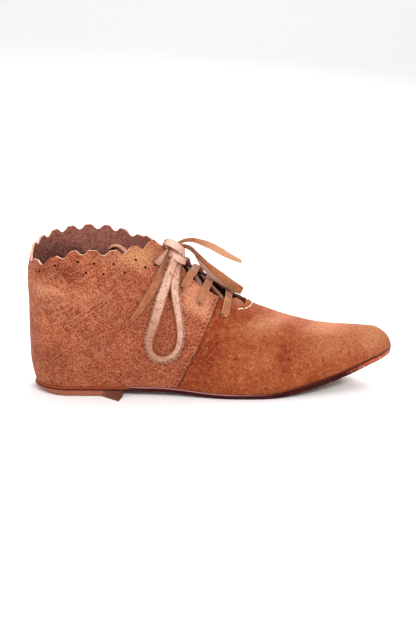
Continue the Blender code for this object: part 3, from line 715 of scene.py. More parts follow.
class Finish:
    """A material being made. Its nodes come from one method."""

    def __init__(self, name, **constants):
        self.material = bpy.data.materials.new(name)
        self.material.use_nodes = True
        self.tree = self.material.node_tree
        self.shader = self.tree.nodes["Principled BSDF"]
        for socket, value in constants.items():
            self.set(socket.replace("_", " ").title().replace("Ior", "IOR"), value)

    def set(self, socket, value):
        """Give a value or a signal to one of the shader's sockets."""
        self.put(self.shader.inputs[socket], value)

    def put(self, socket, value):
        """Give a value or a signal to any socket."""
        if isinstance(value, Signal):
            self.tree.links.new(value.socket, socket)
        elif socket.type == "RGBA":
            socket.default_value = (*value[:3], 1)
        else:
            socket.default_value = value

    def node(self, kind, settings=None, sockets=None, output=0):
        """Add a node with these settings and socket values, and give one of its outputs."""
        made = self.tree.nodes.new(kind)
        for name, value in (settings or {}).items():
            setattr(made, name, value)
        for name, value in (sockets or {}).items():
            self.put(made.inputs[name], value)
        return Signal(self, made.outputs[output])

    def place(self):
        """The place on the object, in metres."""
        return self.node("ShaderNodeTexCoord", output="Object")

    def attribute(self, name):
        """The three numbers that a mesh carries under this name."""
        vector = self.node("ShaderNodeAttribute", {"attribute_name": name}, output="Vector")
        return [self.node("ShaderNodeSeparateXYZ", None, {0: vector}, axis) for axis in "XYZ"]

    def mapped(self, vector, stretch, lean=0.0):
        """The place turned in side view by this angle, then squeezed along the axes."""
        scale = tuple(1 / share for share in stretch)
        sockets = {"Vector": vector, "Rotation": (0.0, lean, 0.0), "Scale": scale}
        return self.node("ShaderNodeMapping", {"vector_type": "TEXTURE"}, sockets)

    def noise(self, size, detail=2.0, roughness=0.5, stretch=None, lean=0.0):
        """Noise with blobs of about this size in millimetres, optionally stretched along leaning axes."""
        vector = self.mapped(self.place(), stretch, lean) if stretch else self.place()
        sockets = {"Vector": vector, "Scale": 1 / (size * MM), "Detail": detail, "Roughness": roughness}
        return self.node("ShaderNodeTexNoise", None, sockets)

    def warped(self, size, warp):
        """The place, shifted about by a share of this size so that cells of it lose their order."""
        sockets = {"Vector": self.place(), "Scale": 0.7 / (size * MM), "Detail": 2.0}
        shift = self.node("ShaderNodeTexNoise", None, sockets, "Color")
        sockets = {0: shift, 1: (warp * size * MM,) * 3, 2: self.place()}
        return self.node("ShaderNodeVectorMath", {"operation": "MULTIPLY_ADD"}, sockets)

    def cells(self, vector, size, feature="F1"):
        """Cells of about this size in millimetres: distance to each one's middle or edge, in cell sizes."""
        sockets = {"Vector": vector, "Scale": 1 / (size * MM)}
        return self.node("ShaderNodeTexVoronoi", {"feature": feature}, sockets, "Distance")

    def mix(self, factor, first, second, blend="MIX"):
        """The first colour where the factor is 0 and the second where it is 1, or another blend of them."""
        settings = {"data_type": "RGBA", "blend_type": blend}
        return self.node("ShaderNodeMix", settings, {0: factor, 6: first, 7: second}, 2)

    def bump(self, height, distance, strength=1.0):
        """Sink or raise the surface by this height, times a distance in millimetres."""
        sockets = {"Height": height, "Distance": distance * MM, "Strength": strength}
        self.set("Normal", self.node("ShaderNodeBump", None, sockets))


def grain_finish(colours):
    """The upper's outside: pored and wrinkled quarters, a napped vamp, and the seam between them with a
    painted shadow along it; its tone marks also paint some highlight and shade.
    """
    finish = Finish("grain_leather", specular_ior_level=0.06, sheen_weight=0.04, sheen_roughness=0.3)
    finish.set("Sheen Tint", colours.sheen)
    along, height, _ = finish.attribute("pattern")
    tone, red, burnish = finish.attribute("marks")
    drift = finish.noise(26.0, 3.0)
    patch = finish.noise(8.0, 3.0, 0.6)
    fine = finish.noise(1.3, 3.0, 0.65)
    wobble = finish.noise(7.0, 3.0) * 4.0 - 2.0
    across_seam = (along - height * SEAM_LEAN - SEAM_AT_FLOOR + wobble) / math.hypot(1, SEAM_LEAN)
    vamp = across_seam.step(-0.5, 0.4)
    # Painted shadow in the seam, where the quarter laps the vamp, patchy along it
    seam_shadow = abs(across_seam).step(1.6, 0.0) * (0.35 + patch.step(0.3, 0.6) * 0.5)
    beside_seam = across_seam.step(-1.0, 0.5) * across_seam.step(26.0, 4.0)
    thread_pits = abs(across_seam + 3.4).step(0.9, 0.3) * abs((height / 3.3).wrap() - 0.5).step(0.3, 0.12)

    grain = finish.mapped(finish.warped(1.6, 0.9), (0.8, 1.0, 1.1), 0.7)
    pores = finish.cells(grain, 1.6).step(0.56, 0.2) * (0.45 + finish.noise(3.4, 2.0).step(0.36, 0.6) * 0.55)
    pores = pores * 0.8 + finish.noise(1.7, 2.0, 0.6, (0.7, 1.0, 1.2), 0.5).step(0.5, 0.36) * 0.4
    ridges = finish.cells(grain, 1.6, "DISTANCE_TO_EDGE").step(0.2, 0.02)
    rubbed = height.step(52.0, 72.0) * height.step(106.0, 92.0) * along.step(50.0, 0.0)
    wrinkles = finish.noise(2.6, 2.0, 0.5, (0.16, 1.0, 1.4), -0.6).step(0.52, 0.62)
    wrinkles = wrinkles + finish.noise(2.8, 2.0, 0.5, (0.16, 1.0, 1.4), 0.75).step(0.54, 0.64)
    wrinkles = wrinkles * (0.15 + rubbed)
    strokes = finish.noise(1.4, 4.0, 0.65, (0.6, 1.0, 1.4), -0.75)
    cloud = finish.noise(5.0, 3.0, 0.6)

    quarter = finish.mix(drift.step(0.35, 0.65), colours.quarter_deep, colours.quarter)
    mottle = patch * 0.7 + fine * 0.3
    quarter = finish.mix(mottle.step(0.42, 0.68) * 0.6, quarter, colours.quarter_pale)
    quarter = finish.mix(mottle.step(0.5, 0.34) * 0.5, quarter, colours.red)
    body = finish.mix(drift.step(0.3, 0.7) * 0.5 + 0.5, colours.vamp_deep, colours.vamp)
    body = finish.mix(cloud.step(0.5, 0.3) * 0.5 + beside_seam * (0.5 + cloud * 0.5), body, colours.vamp_deep)
    body = finish.mix(cloud.step(0.5, 0.7) * 0.5, body, colours.vamp_pale)
    colour = finish.mix(vamp, quarter, body)
    colour = finish.mix(red * 0.5, colour, colours.red)
    # Positive tone pales the leather: rubbed and ochre places, and a painted highlight along the vamp's top
    pale_and_highlight = finish.mix(red.step(0.0, -0.6), colours.rubbed, colours.ochre)
    paled_and_highlit = tone.step(0.0, 1.2)
    colour = finish.mix(paled_and_highlit * 0.8, colour, pale_and_highlight)
    # Negative tone darkens: dark stains, darker creases, and painted shade of the near loop on the quarter
    colour = finish.mix(tone.step(0.0, -1.2) * 0.9, colour, colours.dirt, "MULTIPLY")
    ridge_amount = (ridges * 0.7 + wrinkles * 1.1) * (1 - vamp) + strokes.step(0.5, 0.68) * vamp * 0.7
    colour = finish.mix(ridge_amount * (0.4 + fine), colour, colours.ridge, "ADD")
    pitted = pores * (1 - vamp * 0.85) * (1 - paled_and_highlit * 0.5) + thread_pits * (1 - vamp)
    colour = finish.mix(pitted, colour, colours.pore, "MULTIPLY")
    colour = finish.mix(strokes.step(0.5, 0.34) * vamp * 0.7, colour, colours.pore, "MULTIPLY")
    smutch = (burnish + strokes * 0.9 + fine * 0.5 - 0.7).step(0.3, 0.6)
    colour = finish.mix(smutch * along.step(150.0, 195.0) * 0.8, colour, colours.sole)
    # The seam's line is painted in shadow
    finish.set("Base Color", finish.mix(seam_shadow * 0.8, colour, colours.seam))
    finish.set("Roughness", 0.58 + vamp * 0.08 + (fine - 0.5) * 0.2 + pores * 0.1)

    pebbles = ridges * 0.4 - pores * 0.8 + wrinkles * 0.5 - thread_pits * 0.8
    napped = strokes * 0.7 + fine * 0.25
    lap = across_seam.step(-2.6, -0.4) - across_seam.step(-0.4, 0.3) * 1.8
    relief = pebbles * (1 - vamp) + napped * vamp + lap * 1.4 + fine * 0.3
    finish.bump(relief, 0.4, 0.9)
    return finish.material


def flesh_finish(colours):
    """The upper's inside: dark napped suede, with painted shade that deepens towards the bottom."""
    finish = Finish("flesh_side", roughness=0.95, specular_ior_level=0.1)
    _, height, _ = finish.attribute("pattern")
    nap = finish.noise(1.8, 4.0, 0.7, (0.6, 1.0, 1.3), -0.7)
    patch = finish.noise(9.0, 3.0, 0.6)
    # Painted shade: the inside darkens towards the bottom, its edge made uneven by noise
    colour = finish.mix((height + patch * 26.0 - 13.0).step(95.0, 116.0), colours.inside_deep, colours.inside)
    colour = finish.mix(nap.step(0.5, 0.64) * 0.85, colour, colours.inside_pale)
    pits = finish.noise(1.3, 3.0, 0.6)
    soiled = nap.step(0.52, 0.36) * 0.7 + pits.step(0.48, 0.36) * 0.7
    finish.set("Base Color", finish.mix(soiled, colour, colours.pore, "MULTIPLY"))
    finish.bump(nap + pits * 0.6, 0.4)
    return finish.material


def cut_edge_finish(colours):
    """Pale raw leather where an edge was cut."""
    finish = Finish("cut_edge", roughness=0.75, specular_ior_level=0.2)
    along, _, _ = finish.attribute("pattern")
    fibre = finish.noise(0.8, 3.0, 0.7)
    colour = finish.mix(fibre, colours.edge_deep, colours.edge)
    finish.set("Base Color", finish.mix(along.step(70.0, 78.0), colour, colours.throat_edge))
    finish.bump(fibre, 0.2)
    return finish.material


def hole_shade_finish(colours):
    """Painted shade on the leather inside the holes: near-black walls with a little fibre."""
    finish = Finish("hole_wall_shade", roughness=0.9, specular_ior_level=0.1)
    fibre = finish.noise(0.8, 3.0, 0.7)
    finish.set("Base Color", finish.mix(fibre * 0.5, colours.hole, colours.seam))
    finish.bump(fibre, 0.2)
    return finish.material


def sole_finish(colours):
    """Burnished sole leather: dark wine-brown sides, a painted pinkish highlight along its top corner,
    painted glints at the toe, and a scuffed underside.
    """
    finish = Finish("sole_leather", specular_ior_level=0.05)
    along, high, inner = finish.attribute("pattern")
    streak = finish.noise(3.0, 3.0, 0.6, (0.35, 0.35, 2.5))
    fine = finish.noise(0.9, 3.0, 0.7)
    blot = finish.noise(2.6, 3.0, 0.65)
    # Pale flecks of painted glint for the toe's glossy edge
    glint = finish.noise(1.6, 2.0).step(0.58, 0.66)
    heel = along.step(52.0, 44.0)
    waist = along.step(44.0, 52.0) * along.step(175.0, 120.0)
    toe = (along + blot * 40.0 - 20.0).step(222.0, 244.0)
    under = high.step(0.04, -0.02)
    colour = finish.mix(streak.step(0.35, 0.7), colours.sole_deep, colours.sole)
    colour = finish.mix(blot.step(0.55, 0.75) * along.step(110.0, 200.0) * 0.3, colour, colours.sole_toe)
    colour = finish.mix(toe * 0.85, colour, colours.sole_toe)
    # Painted glints on the toe's edge
    colour = finish.mix(toe * glint * 0.7, colour, colours.sole_fleck)
    skirt = finish.mix(fine.step(0.4, 0.6), colours.quarter_deep, colours.quarter)
    colour = finish.mix(heel * high.step(0.26, 0.42), colour, skirt)
    # Painted highlight: a pinkish line along the sole's top corner at the waist
    colour = finish.mix(high.step(0.7, 0.9) * waist * (0.4 + streak * 0.7), colour, colours.sole_corner)
    # Painted shade on the sole's top inside the shoe
    colour = finish.mix(inner, colour, colours.inside_deep)
    finish.set("Base Color", finish.mix(under * 0.8, colour, colours.sole_under))
    finish.set("Roughness", 0.42 + streak * 0.2 + under * 0.3)
    finish.set("Coat Weight", toe * 0.2)
    finish.bump(streak * 0.6 + fine * 0.4 + blot * toe, 0.25)
    return finish.material


def lift_finish(colours):
    """The heel layer: raw pinkish leather with fibrous sides and a brown napped loose corner."""
    finish = Finish("heel_leather", roughness=0.7, specular_ior_level=0.25)
    loose, high, _ = finish.attribute("pattern")
    layers = finish.noise(2.4, 3.0, 0.6, (0.3, 0.3, 3.0))
    fine = finish.noise(0.9, 4.0, 0.7)
    colour = finish.mix(layers.step(0.3, 0.75), colours.lift_deep, colours.lift)
    colour = finish.mix(fine.step(0.45, 0.8) * 0.5, colour, colours.lift_pale)
    corner = finish.mix(fine.step(0.35, 0.7), colours.loose_corner_deep, colours.loose_corner)
    colour = finish.mix(loose, colour, corner)
    finish.set("Base Color", finish.mix(high.step(0.14, 0.0) * 0.6, colour, colours.lift_deep))
    finish.bump(layers * 0.5 + fine * 0.6, 0.3)
    return finish.material


def thong_finish(colours):
    """The lace: brown grain on one face, pinkish nap on the other, paler cut edges, and painted highlight and
    shade along each strip.
    """
    finish = Finish("thong_leather", specular_ior_level=0.12)
    across, face, shade = finish.attribute("pattern")
    fine = finish.noise(0.9, 4.0, 0.7)
    patch = finish.noise(7.0, 3.0, 0.6)
    flesh = face.step(0.2, -0.2)
    edge = abs(across).step(0.74, 0.94)
    grain = finish.mix(patch.step(0.35, 0.7), colours.thong_deep, colours.thong)
    grain = finish.mix(fine.step(0.55, 0.8) * 0.35, grain, colours.thong_pale)
    fuzz = finish.noise(1.6, 3.0, 0.7)
    nap = finish.mix(patch.step(0.3, 0.7) * 0.4 + fine.step(0.35, 0.65) * 0.4, colours.nap, colours.nap_pale)
    nap = finish.mix(fuzz.step(0.55, 0.68) * 0.6, nap, colours.nap_pale)
    nap = finish.mix(fuzz.step(0.48, 0.34) * 0.85, nap, colours.nap_deep)
    nap = finish.mix(across.step(-0.55, -0.8) * 0.7, nap, colours.thong)
    colour = finish.mix(flesh, grain, nap)
    colour = finish.mix(edge * (1 - flesh) * 0.4, colour, colours.thong_pale)
    # Dark outlines along the flesh strips' edges: partly their browner cut sides, partly painted shade that
    # sets each strip apart
    colour = finish.mix(edge * flesh * 0.8, colour, colours.thong_deep)
    # Painted highlight where the shade is negative: pale grain on grain strips, pale nap on flesh strips
    pale_and_highlight = finish.mix(flesh, colours.thong_pale, colours.nap_pale)
    colour = finish.mix(shade.step(0.0, -1.0) * 0.85, colour, pale_and_highlight)
    # Painted shade where the shade is positive: brown on lightly shaded flesh strips, the shaded colour
    # deeper in
    painted_shade_colour = finish.mix(flesh * shade.step(1.0, 0.75), colours.thong_shade, colours.thong_deep)
    finish.set("Base Color", finish.mix(shade.step(0.0, 1.1) * 0.85, colour, painted_shade_colour))
    finish.set("Roughness", 0.55 + flesh * 0.4)
    finish.bump(fine * (0.4 + flesh * 0.9) + patch * 0.5, 0.28)
    return finish.material


def tongue_finish(colours):
    """The tongue: plain brown leather, with painted shade where it lies in the throat under the lace, and
    paler along its top.
    """
    finish = Finish("tongue_leather", roughness=0.7, specular_ior_level=0.1)
    fine = finish.noise(1.0, 4.0, 0.7)
    patch = finish.noise(8.0, 3.0)
    top, across, _ = finish.attribute("pattern")
    colour = finish.mix(patch.step(0.35, 0.7), colours.tongue_deep, colours.tongue)
    colour = finish.mix(fine.step(0.5, 0.8) * 0.3, colour, colours.thong_pale)
    colour = finish.mix(top.step(0.3, 0.12) * 0.85, colour, colours.vamp)
    # Painted shade on the tongue where it lies in the throat, under the bars
    colour = finish.mix(top.step(0.14, 0.28) * top.step(0.7, 0.6) * 0.75, colour, colours.seam)
    colour = finish.mix(top.step(0.66, 0.76) * 0.8, colour, colours.inside)
    rim = abs(across).step(0.82, 0.97) * top.step(0.66, 0.76)
    finish.set("Base Color", finish.mix(rim * 0.9, colour, colours.thong_pale))
    finish.bump(fine * 0.6 + patch * 0.4, 0.3)
    return finish.material


def thread_finish(colours):
    """Waxed cream thread with the twist of its plies."""
    finish = Finish("waxed_thread", roughness=0.45, specular_ior_level=0.4)
    twist = finish.noise(0.5, 2.0, 0.6)
    finish.set("Base Color", finish.mix(twist.step(0.3, 0.7), colours.thread_deep, colours.thread))
    finish.bump(twist, 0.12)
    return finish.material


def floor_finish(colours):
    """A pale floor with a very faint unevenness."""
    finish = Finish("pale_floor", roughness=0.8, specular_ior_level=0.2)
    cloud = finish.noise(400.0, 2.0)
    finish.set("Base Color", finish.mix(cloud * 0.3, colours.floor, colours.floor_shade))
    return finish.material


def new_object(name, data):
    """An object with this data, in the scene."""
    made = bpy.data.objects.new(name, data)
    bpy.context.scene.collection.objects.link(made)
    return made


def add_mesh(name, points, faces, materials):
    """A smooth mesh object from points in millimetres."""
    data = bpy.data.meshes.new(name)
    data.from_pydata([tuple(Vector(p) * MM) for p in points], [], faces)
    for made in materials:
        data.materials.append(made)
    data.polygons.foreach_set("use_smooth", [True] * len(data.polygons))
    return new_object(name, data)


def carry(data, name, values):
    """Store three numbers for each point of a mesh, for its finish to read."""
    layer = data.attributes.new(name, "FLOAT_VECTOR", "POINT")
    layer.data.foreach_set("vector", np.asarray(values, np.float32).ravel())


def closed_mesh(name, points, faces, material, pattern, sharp):
    """A closed mesh object with its faces turned out, the pattern it carries and its sharp edges."""
    thing = add_mesh(name, points, faces, [material])
    bm = bmesh.new()
    bm.from_mesh(thing.data)
    bmesh.ops.recalc_face_normals(bm, faces=bm.faces)
    bm.to_mesh(thing.data)
    bm.free()
    carry(thing.data, "pattern", pattern)
    thing.data.set_sharp_from_angle(angle=math.radians(sharp))
    return thing


def grid_faces(columns, rows):
    """Faces of a sheet whose points are listed column by column."""
    corners = [c * rows + r for c in range(columns - 1) for r in range(rows - 1)]
    return [(a, a + 1, a + rows + 1, a + rows) for a in corners]


def ring_faces(count, deep):
    """Faces through a ring of profiles, each with the same number of points."""
    faces = []
    for n in range(count):
        for k in range(deep - 1):
            a, b = n * deep + k, (n + 1) % count * deep + k
            faces.append((a, b, b + 1, a + 1))
    return faces


def settle(thing, slot, *nodes):
    """Make the piece part of the shoe: it rides on its one body and stands for its solids."""
    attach(thing, "root")
    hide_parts(*nodes)
    return thing


def applied(thing, name):
    """The mesh that an object's modifiers give, under a new name; the object goes."""
    graph = bpy.context.evaluated_depsgraph_get()
    data = bpy.data.meshes.new_from_object(thing.evaluated_get(graph))
    data.name = name
    bpy.data.objects.remove(thing)
    return new_object(name, data)


def fine_stations(side):
    """Close places along one side of the upper, from the back of the heel to the toe's tip."""
    places = list(np.linspace(-HEEL_TURN, CORNER[side], COLLAR_STEPS))
    for n in range(THROAT_STEPS):
        t = (n + 1) / THROAT_STEPS
        crowded = (1 + THROAT_CROWD) * t - THROAT_CROWD * t * t
        places.append(CORNER[side] + (THROAT_END - CORNER[side]) * crowded)
    for n in range(VAMP_STEPS):
        t = (n + 1) / VAMP_STEPS
        places.append(THROAT_END + (TOE_TIP - THROAT_END) * math.sin(t * math.pi / 2))
    return places


def hump(row, along, height):
    """How much of a crease or ridge is felt at this place."""
    length = math.hypot(row["run_along"], row["run_height"])
    ahead, up = row["run_along"] / length, row["run_height"] / length
    x, z = along - row["along"], height - row["height"]
    lengthwise = (x * ahead + z * up) / row["half_long"]
    across = (z * ahead - x * up) / row["half_wide"]
    return math.exp(-(lengthwise**2) - across**2)


def rows_of(columns):
    """The rows of a table, each as a dictionary."""
    return [dict(zip(columns, values)) for values in zip(*columns.values())]


CREASE_ROWS, STAIN_AND_LIGHT_ROWS = rows_of(CREASES), rows_of(STAINS_AND_PAINTED_LIGHT)


def relief(side, along, height):
    """How far the worn leather stands out from its smooth form."""
    rise = sum(row["rise"] * hump(row, along, height) for row in CREASE_ROWS if row["side"] == side)
    place = Vector((along * WAVE_SCALE, height * WAVE_SCALE, side * SIDES_APART))
    rise += WAVE_RISE * noise.noise(place) + RIPPLE_RISE * noise.noise(place * RIPPLE_SCALE)
    across_seam = along - SEAM_LEAN * height - SEAM_AT_FLOOR
    lap = LAP_RISE * ease((across_seam + LAP_BACK) / LAP_RUN)
    return rise + lap * (1 - ease((across_seam + LAP_EDGE) / LAP_DROP))


def stain_and_painted_light(side, along, height):
    """Tone and redness of the leather at a place, the tone with painted highlight and shade among its stains,
    and how burnished it is near the sole.
    """
    tone = red = 0.0
    for row in STAIN_AND_LIGHT_ROWS:
        if row["side"] in (side, BOTH):
            x = (along - row["along"]) / row["half_along"]
            z = (height - row["height"]) / row["half_height"]
            felt = math.exp(-x * x - z * z)
            tone += row["tone"] * felt
            red += row["red"] * felt
    burnish = ease(1 - (height - feather_height(along)) / BURNISH_HEIGHT)
    return tone, red, burnish


def punch(middle, out, radius, sides, depth, cutters, materials):
    """A cutter for a hole in the upper, half of its depth outside."""
    bm = bmesh.new()
    turn = out.to_track_quat("Z", "Y").to_matrix().to_4x4()
    sizes = {"segments": sides, "radius1": radius, "radius2": radius, "depth": depth}
    bmesh.ops.create_cone(bm, cap_ends=True, matrix=turn, **sizes)
    bmesh.ops.translate(bm, vec=middle, verts=bm.verts)
    bmesh.ops.scale(bm, vec=(MM, MM, MM), verts=bm.verts)
    data = bpy.data.meshes.new("punch")
    bm.to_mesh(data)
    bm.free()
    for made in materials:
        data.materials.append(made)
    data.polygons.foreach_set("material_index", [HOLE_SLOT] * len(data.polygons))
    cutters.objects.link(bpy.data.objects.new("punch", data))


def upper_sheet():
    """The worn upper's outside: its number of columns, its points, and the pattern and marks they carry."""
    sides = {side: fine_stations(side) for side in (LATERAL, MEDIAL)}
    columns = [(LATERAL, q) for q in reversed(sides[LATERAL])] + [(MEDIAL, q) for q in sides[MEDIAL][1:]]
    levels = [r / (UPPER_ROWS - 1) for r in range(UPPER_ROWS)]
    places = np.zeros((len(columns), UPPER_ROWS, 3))
    for c, (side, along) in enumerate(columns):
        for r, level in enumerate(levels):
            places[c, r] = upper_point(side, along, level)
    normals = np.cross(np.gradient(places, axis=1), np.gradient(places, axis=0))
    normals /= np.maximum(np.linalg.norm(normals, axis=2, keepdims=True), 1e-9)
    pattern, marks = [], []
    for c, (side, along) in enumerate(columns):
        for r, level in enumerate(levels):
            height = places[c, r, 2]
            fade = closing(along, TOE_TIP, TOE_FADE) * ease(level / FOOT_FADE)
            if along > THROAT_END - VAMP_FADE_BACK:
                fade *= ease((1 - level) / VAMP_FADE)
            pattern.append((along, height, side))
            marks.append(stain_and_painted_light(side, along, height))
            places[c, r] += normals[c, r] * relief(side, along, height) * fade
    return len(columns), places.reshape(-1, 3), np.array(pattern), np.array(marks)


def upper_punches(materials):
    """Cutters for the lace holes and the pinholes, in a collection of their own."""
    cutters = bpy.data.collections.new("punches")
    bpy.context.scene.collection.children.link(cutters)
    for side in (LATERAL, MEDIAL):
        for number in range(len(HOLES["lateral"])):
            middle, out, _, _ = hole_place(side, number)
            punch(middle, out, HOLE_RADIUS, HOLE_SIDES, CUT_DEPTH, cutters, materials)
        for along, height in zip(PINHOLES["along"], PINHOLES["height"]):
            middle, out = beside(side, along, height, 0.0)
            punch(middle, out, PIN_RADIUS, PIN_SIDES, PIT_DEPTH, cutters, materials)
    return cutters


def make_upper(materials):
    """The upper's shell: relief of the worn leather, wall thickness, lace holes and pinholes."""
    count, points, pattern, marks = upper_sheet()
    rough = add_mesh("rough_upper", points, grid_faces(count, UPPER_ROWS), materials)
    bm = bmesh.new()
    bm.from_mesh(rough.data)
    bmesh.ops.remove_doubles(bm, verts=bm.verts, dist=WELD * MM)
    bm.to_mesh(rough.data)
    bm.free()
    shell = rough.modifiers.new("wall", "SOLIDIFY")
    shell.thickness, shell.offset = WALL * MM, -1
    shell.material_offset, shell.material_offset_rim = 1, 2
    cutters = upper_punches(materials)
    holes = rough.modifiers.new("holes", "BOOLEAN")
    holes.operation, holes.solver = "DIFFERENCE", "EXACT"
    holes.operand_type, holes.collection = "COLLECTION", cutters
    upper = applied(rough, "upper_shell")
    for thing in list(cutters.objects):
        bpy.data.objects.remove(thing)
    bpy.data.collections.remove(cutters)
    tree = kdtree.KDTree(len(points))
    for n, point in enumerate(points):
        tree.insert(Vector(point) * MM, n)
    tree.balance()
    nearest = [tree.find(vert.co)[1] for vert in upper.data.vertices]
    carry(upper.data, "pattern", pattern[nearest])
    carry(upper.data, "marks", marks[nearest])
    upper.data.set_sharp_from_angle(angle=math.radians(UPPER_SHARP))
    return settle(upper, "upper_leather", "upper")


def make_sole(material):
    """The sole: rounded corners on its edge, finer than the solid."""
    places = [q for q in fine_stations(LATERAL)[::2] if q < SOLE_TIP - TIP_CLEAR] + [SOLE_TIP]
    ring = [(LATERAL, q) for q in reversed(places)] + [(MEDIAL, q) for q in places[1:-1]]
    points, pattern = [], []
    for side, along in ring:
        for inward, share in zip(SOLE_PROFILE["in"], SOLE_PROFILE["share"]):
            x, y = in_plan(side, along, max(0.0, sole_width(side, along, SOLE_TIP) - inward))
            points.append((x, y, sole_bottom(along) + sole_thick(along) * share))
            pattern.append((along, share, inward > SOLE_INSIDE))
    count, deep, back = len(ring), len(SOLE_PROFILE["in"]), len(places) - 1
    faces = ring_faces(count, deep)
    for k in (0, deep - 1):
        for n in range(back):
            corners = (back - n, back - n - 1, (back + n + 1) % count, back + n)
            loop = [corner * deep + k for corner in dict.fromkeys(corners)]
            faces.append(loop if k == 0 else loop[::-1])
    sole = closed_mesh("sole_edge", points, faces, material, pattern, SOLE_SHARP)
    return settle(sole, "sole_leather", "sole")


def heel_ring():
    """Round the heel layer: side, place along it, and share of the half width, under 1 across the front."""
    ring = []
    for side in (LATERAL, MEDIAL):
        front = LIFT_FRONT[side]
        places = [q for q in fine_stations(side)[::2] if q < front - FRONT_CLEAR] + [front]
        if side == LATERAL:
            places = sorted([*places, CORNER_FROM, CORNER_TIP[0]])
        half = [(side, q, 1.0) for q in places]
        ring += half[::-1] if side == LATERAL else half[1:]
    for side, shares in FRONT_SHARES.items():
        ring += [(side, LIFT_FRONT[side], share) for share in shares]
    return ring


def corner_reach(along):
    """How far the loose corner is drawn out: most at its tip, and little of it at the front."""
    tip, reach = CORNER_TIP[0], abs(CORNER_TIP[1]) - CORNER_BASE
    if along > tip:
        return (1 - CORNER_FALL * (along - tip) / (LIFT_FRONT[LATERAL] - tip)) * reach
    return (along - CORNER_FROM) / (tip - CORNER_FROM) * reach


def make_heel_layer(material):
    """The heel layer with rounded corners, pared under its back, and its loose corner drawn out."""
    ring = heel_ring()
    points, pattern = [], []
    for side, along, share_out in ring:
        for inward, share in zip(LIFT_PROFILE["in"], LIFT_PROFILE["share"]):
            wide = sole_width(side, along) + LIFT_MARGIN - inward
            x, y = in_plan(side, along, wide * share_out)
            if x < 0:
                x *= LIFT_UNDERCUT + (1 - LIFT_UNDERCUT) * ease(share / PARED_SHARE)
            loose = 0.0
            if side == LATERAL and share_out == 1.0 and along > CORNER_FROM:
                loose = ease((along - CORNER_FROM) / CORNER_NAP)
                y -= corner_reach(along) * (1 - share * CORNER_TOP)
            points.append((x, y, LIFT_THICK * share))
            pattern.append((loose, share, 0))
    count, deep = len(ring), len(LIFT_PROFILE["in"])
    faces = ring_faces(count, deep)
    faces.append([n * deep for n in range(count)])
    faces.append([n * deep + deep - 1 for n in reversed(range(count))])
    layer = closed_mesh("heel_layer", points, faces, material, pattern, SOLE_SHARP)
    return settle(layer, "lift_leather", "heel_lift")


def distances(points):
    """How far along its route each point is."""
    return np.concatenate([[0.0], np.cumsum([(b - a).length for a, b in zip(points, points[1:])])])


def spread_along(points, values, count):
    """The values that belong to the points, smoothly spread along the route through the points."""
    along = distances(points)
    curves = [natural_spline(along, np.array(column)) for column in zip(*values)]
    return [Vector([curve(at) for curve in curves]) for at in np.linspace(0, along[-1], count)]


def route_length(points):
    """Length of a route from point to point."""
    return sum((b - a).length for a, b in zip(points, points[1:]))


def waver(kind, n, seed):
    """A share near 1 that wanders along a thong."""
    share, rate, layer = kind
    return 1 + share * noise.noise(Vector((n * rate, seed, layer)))


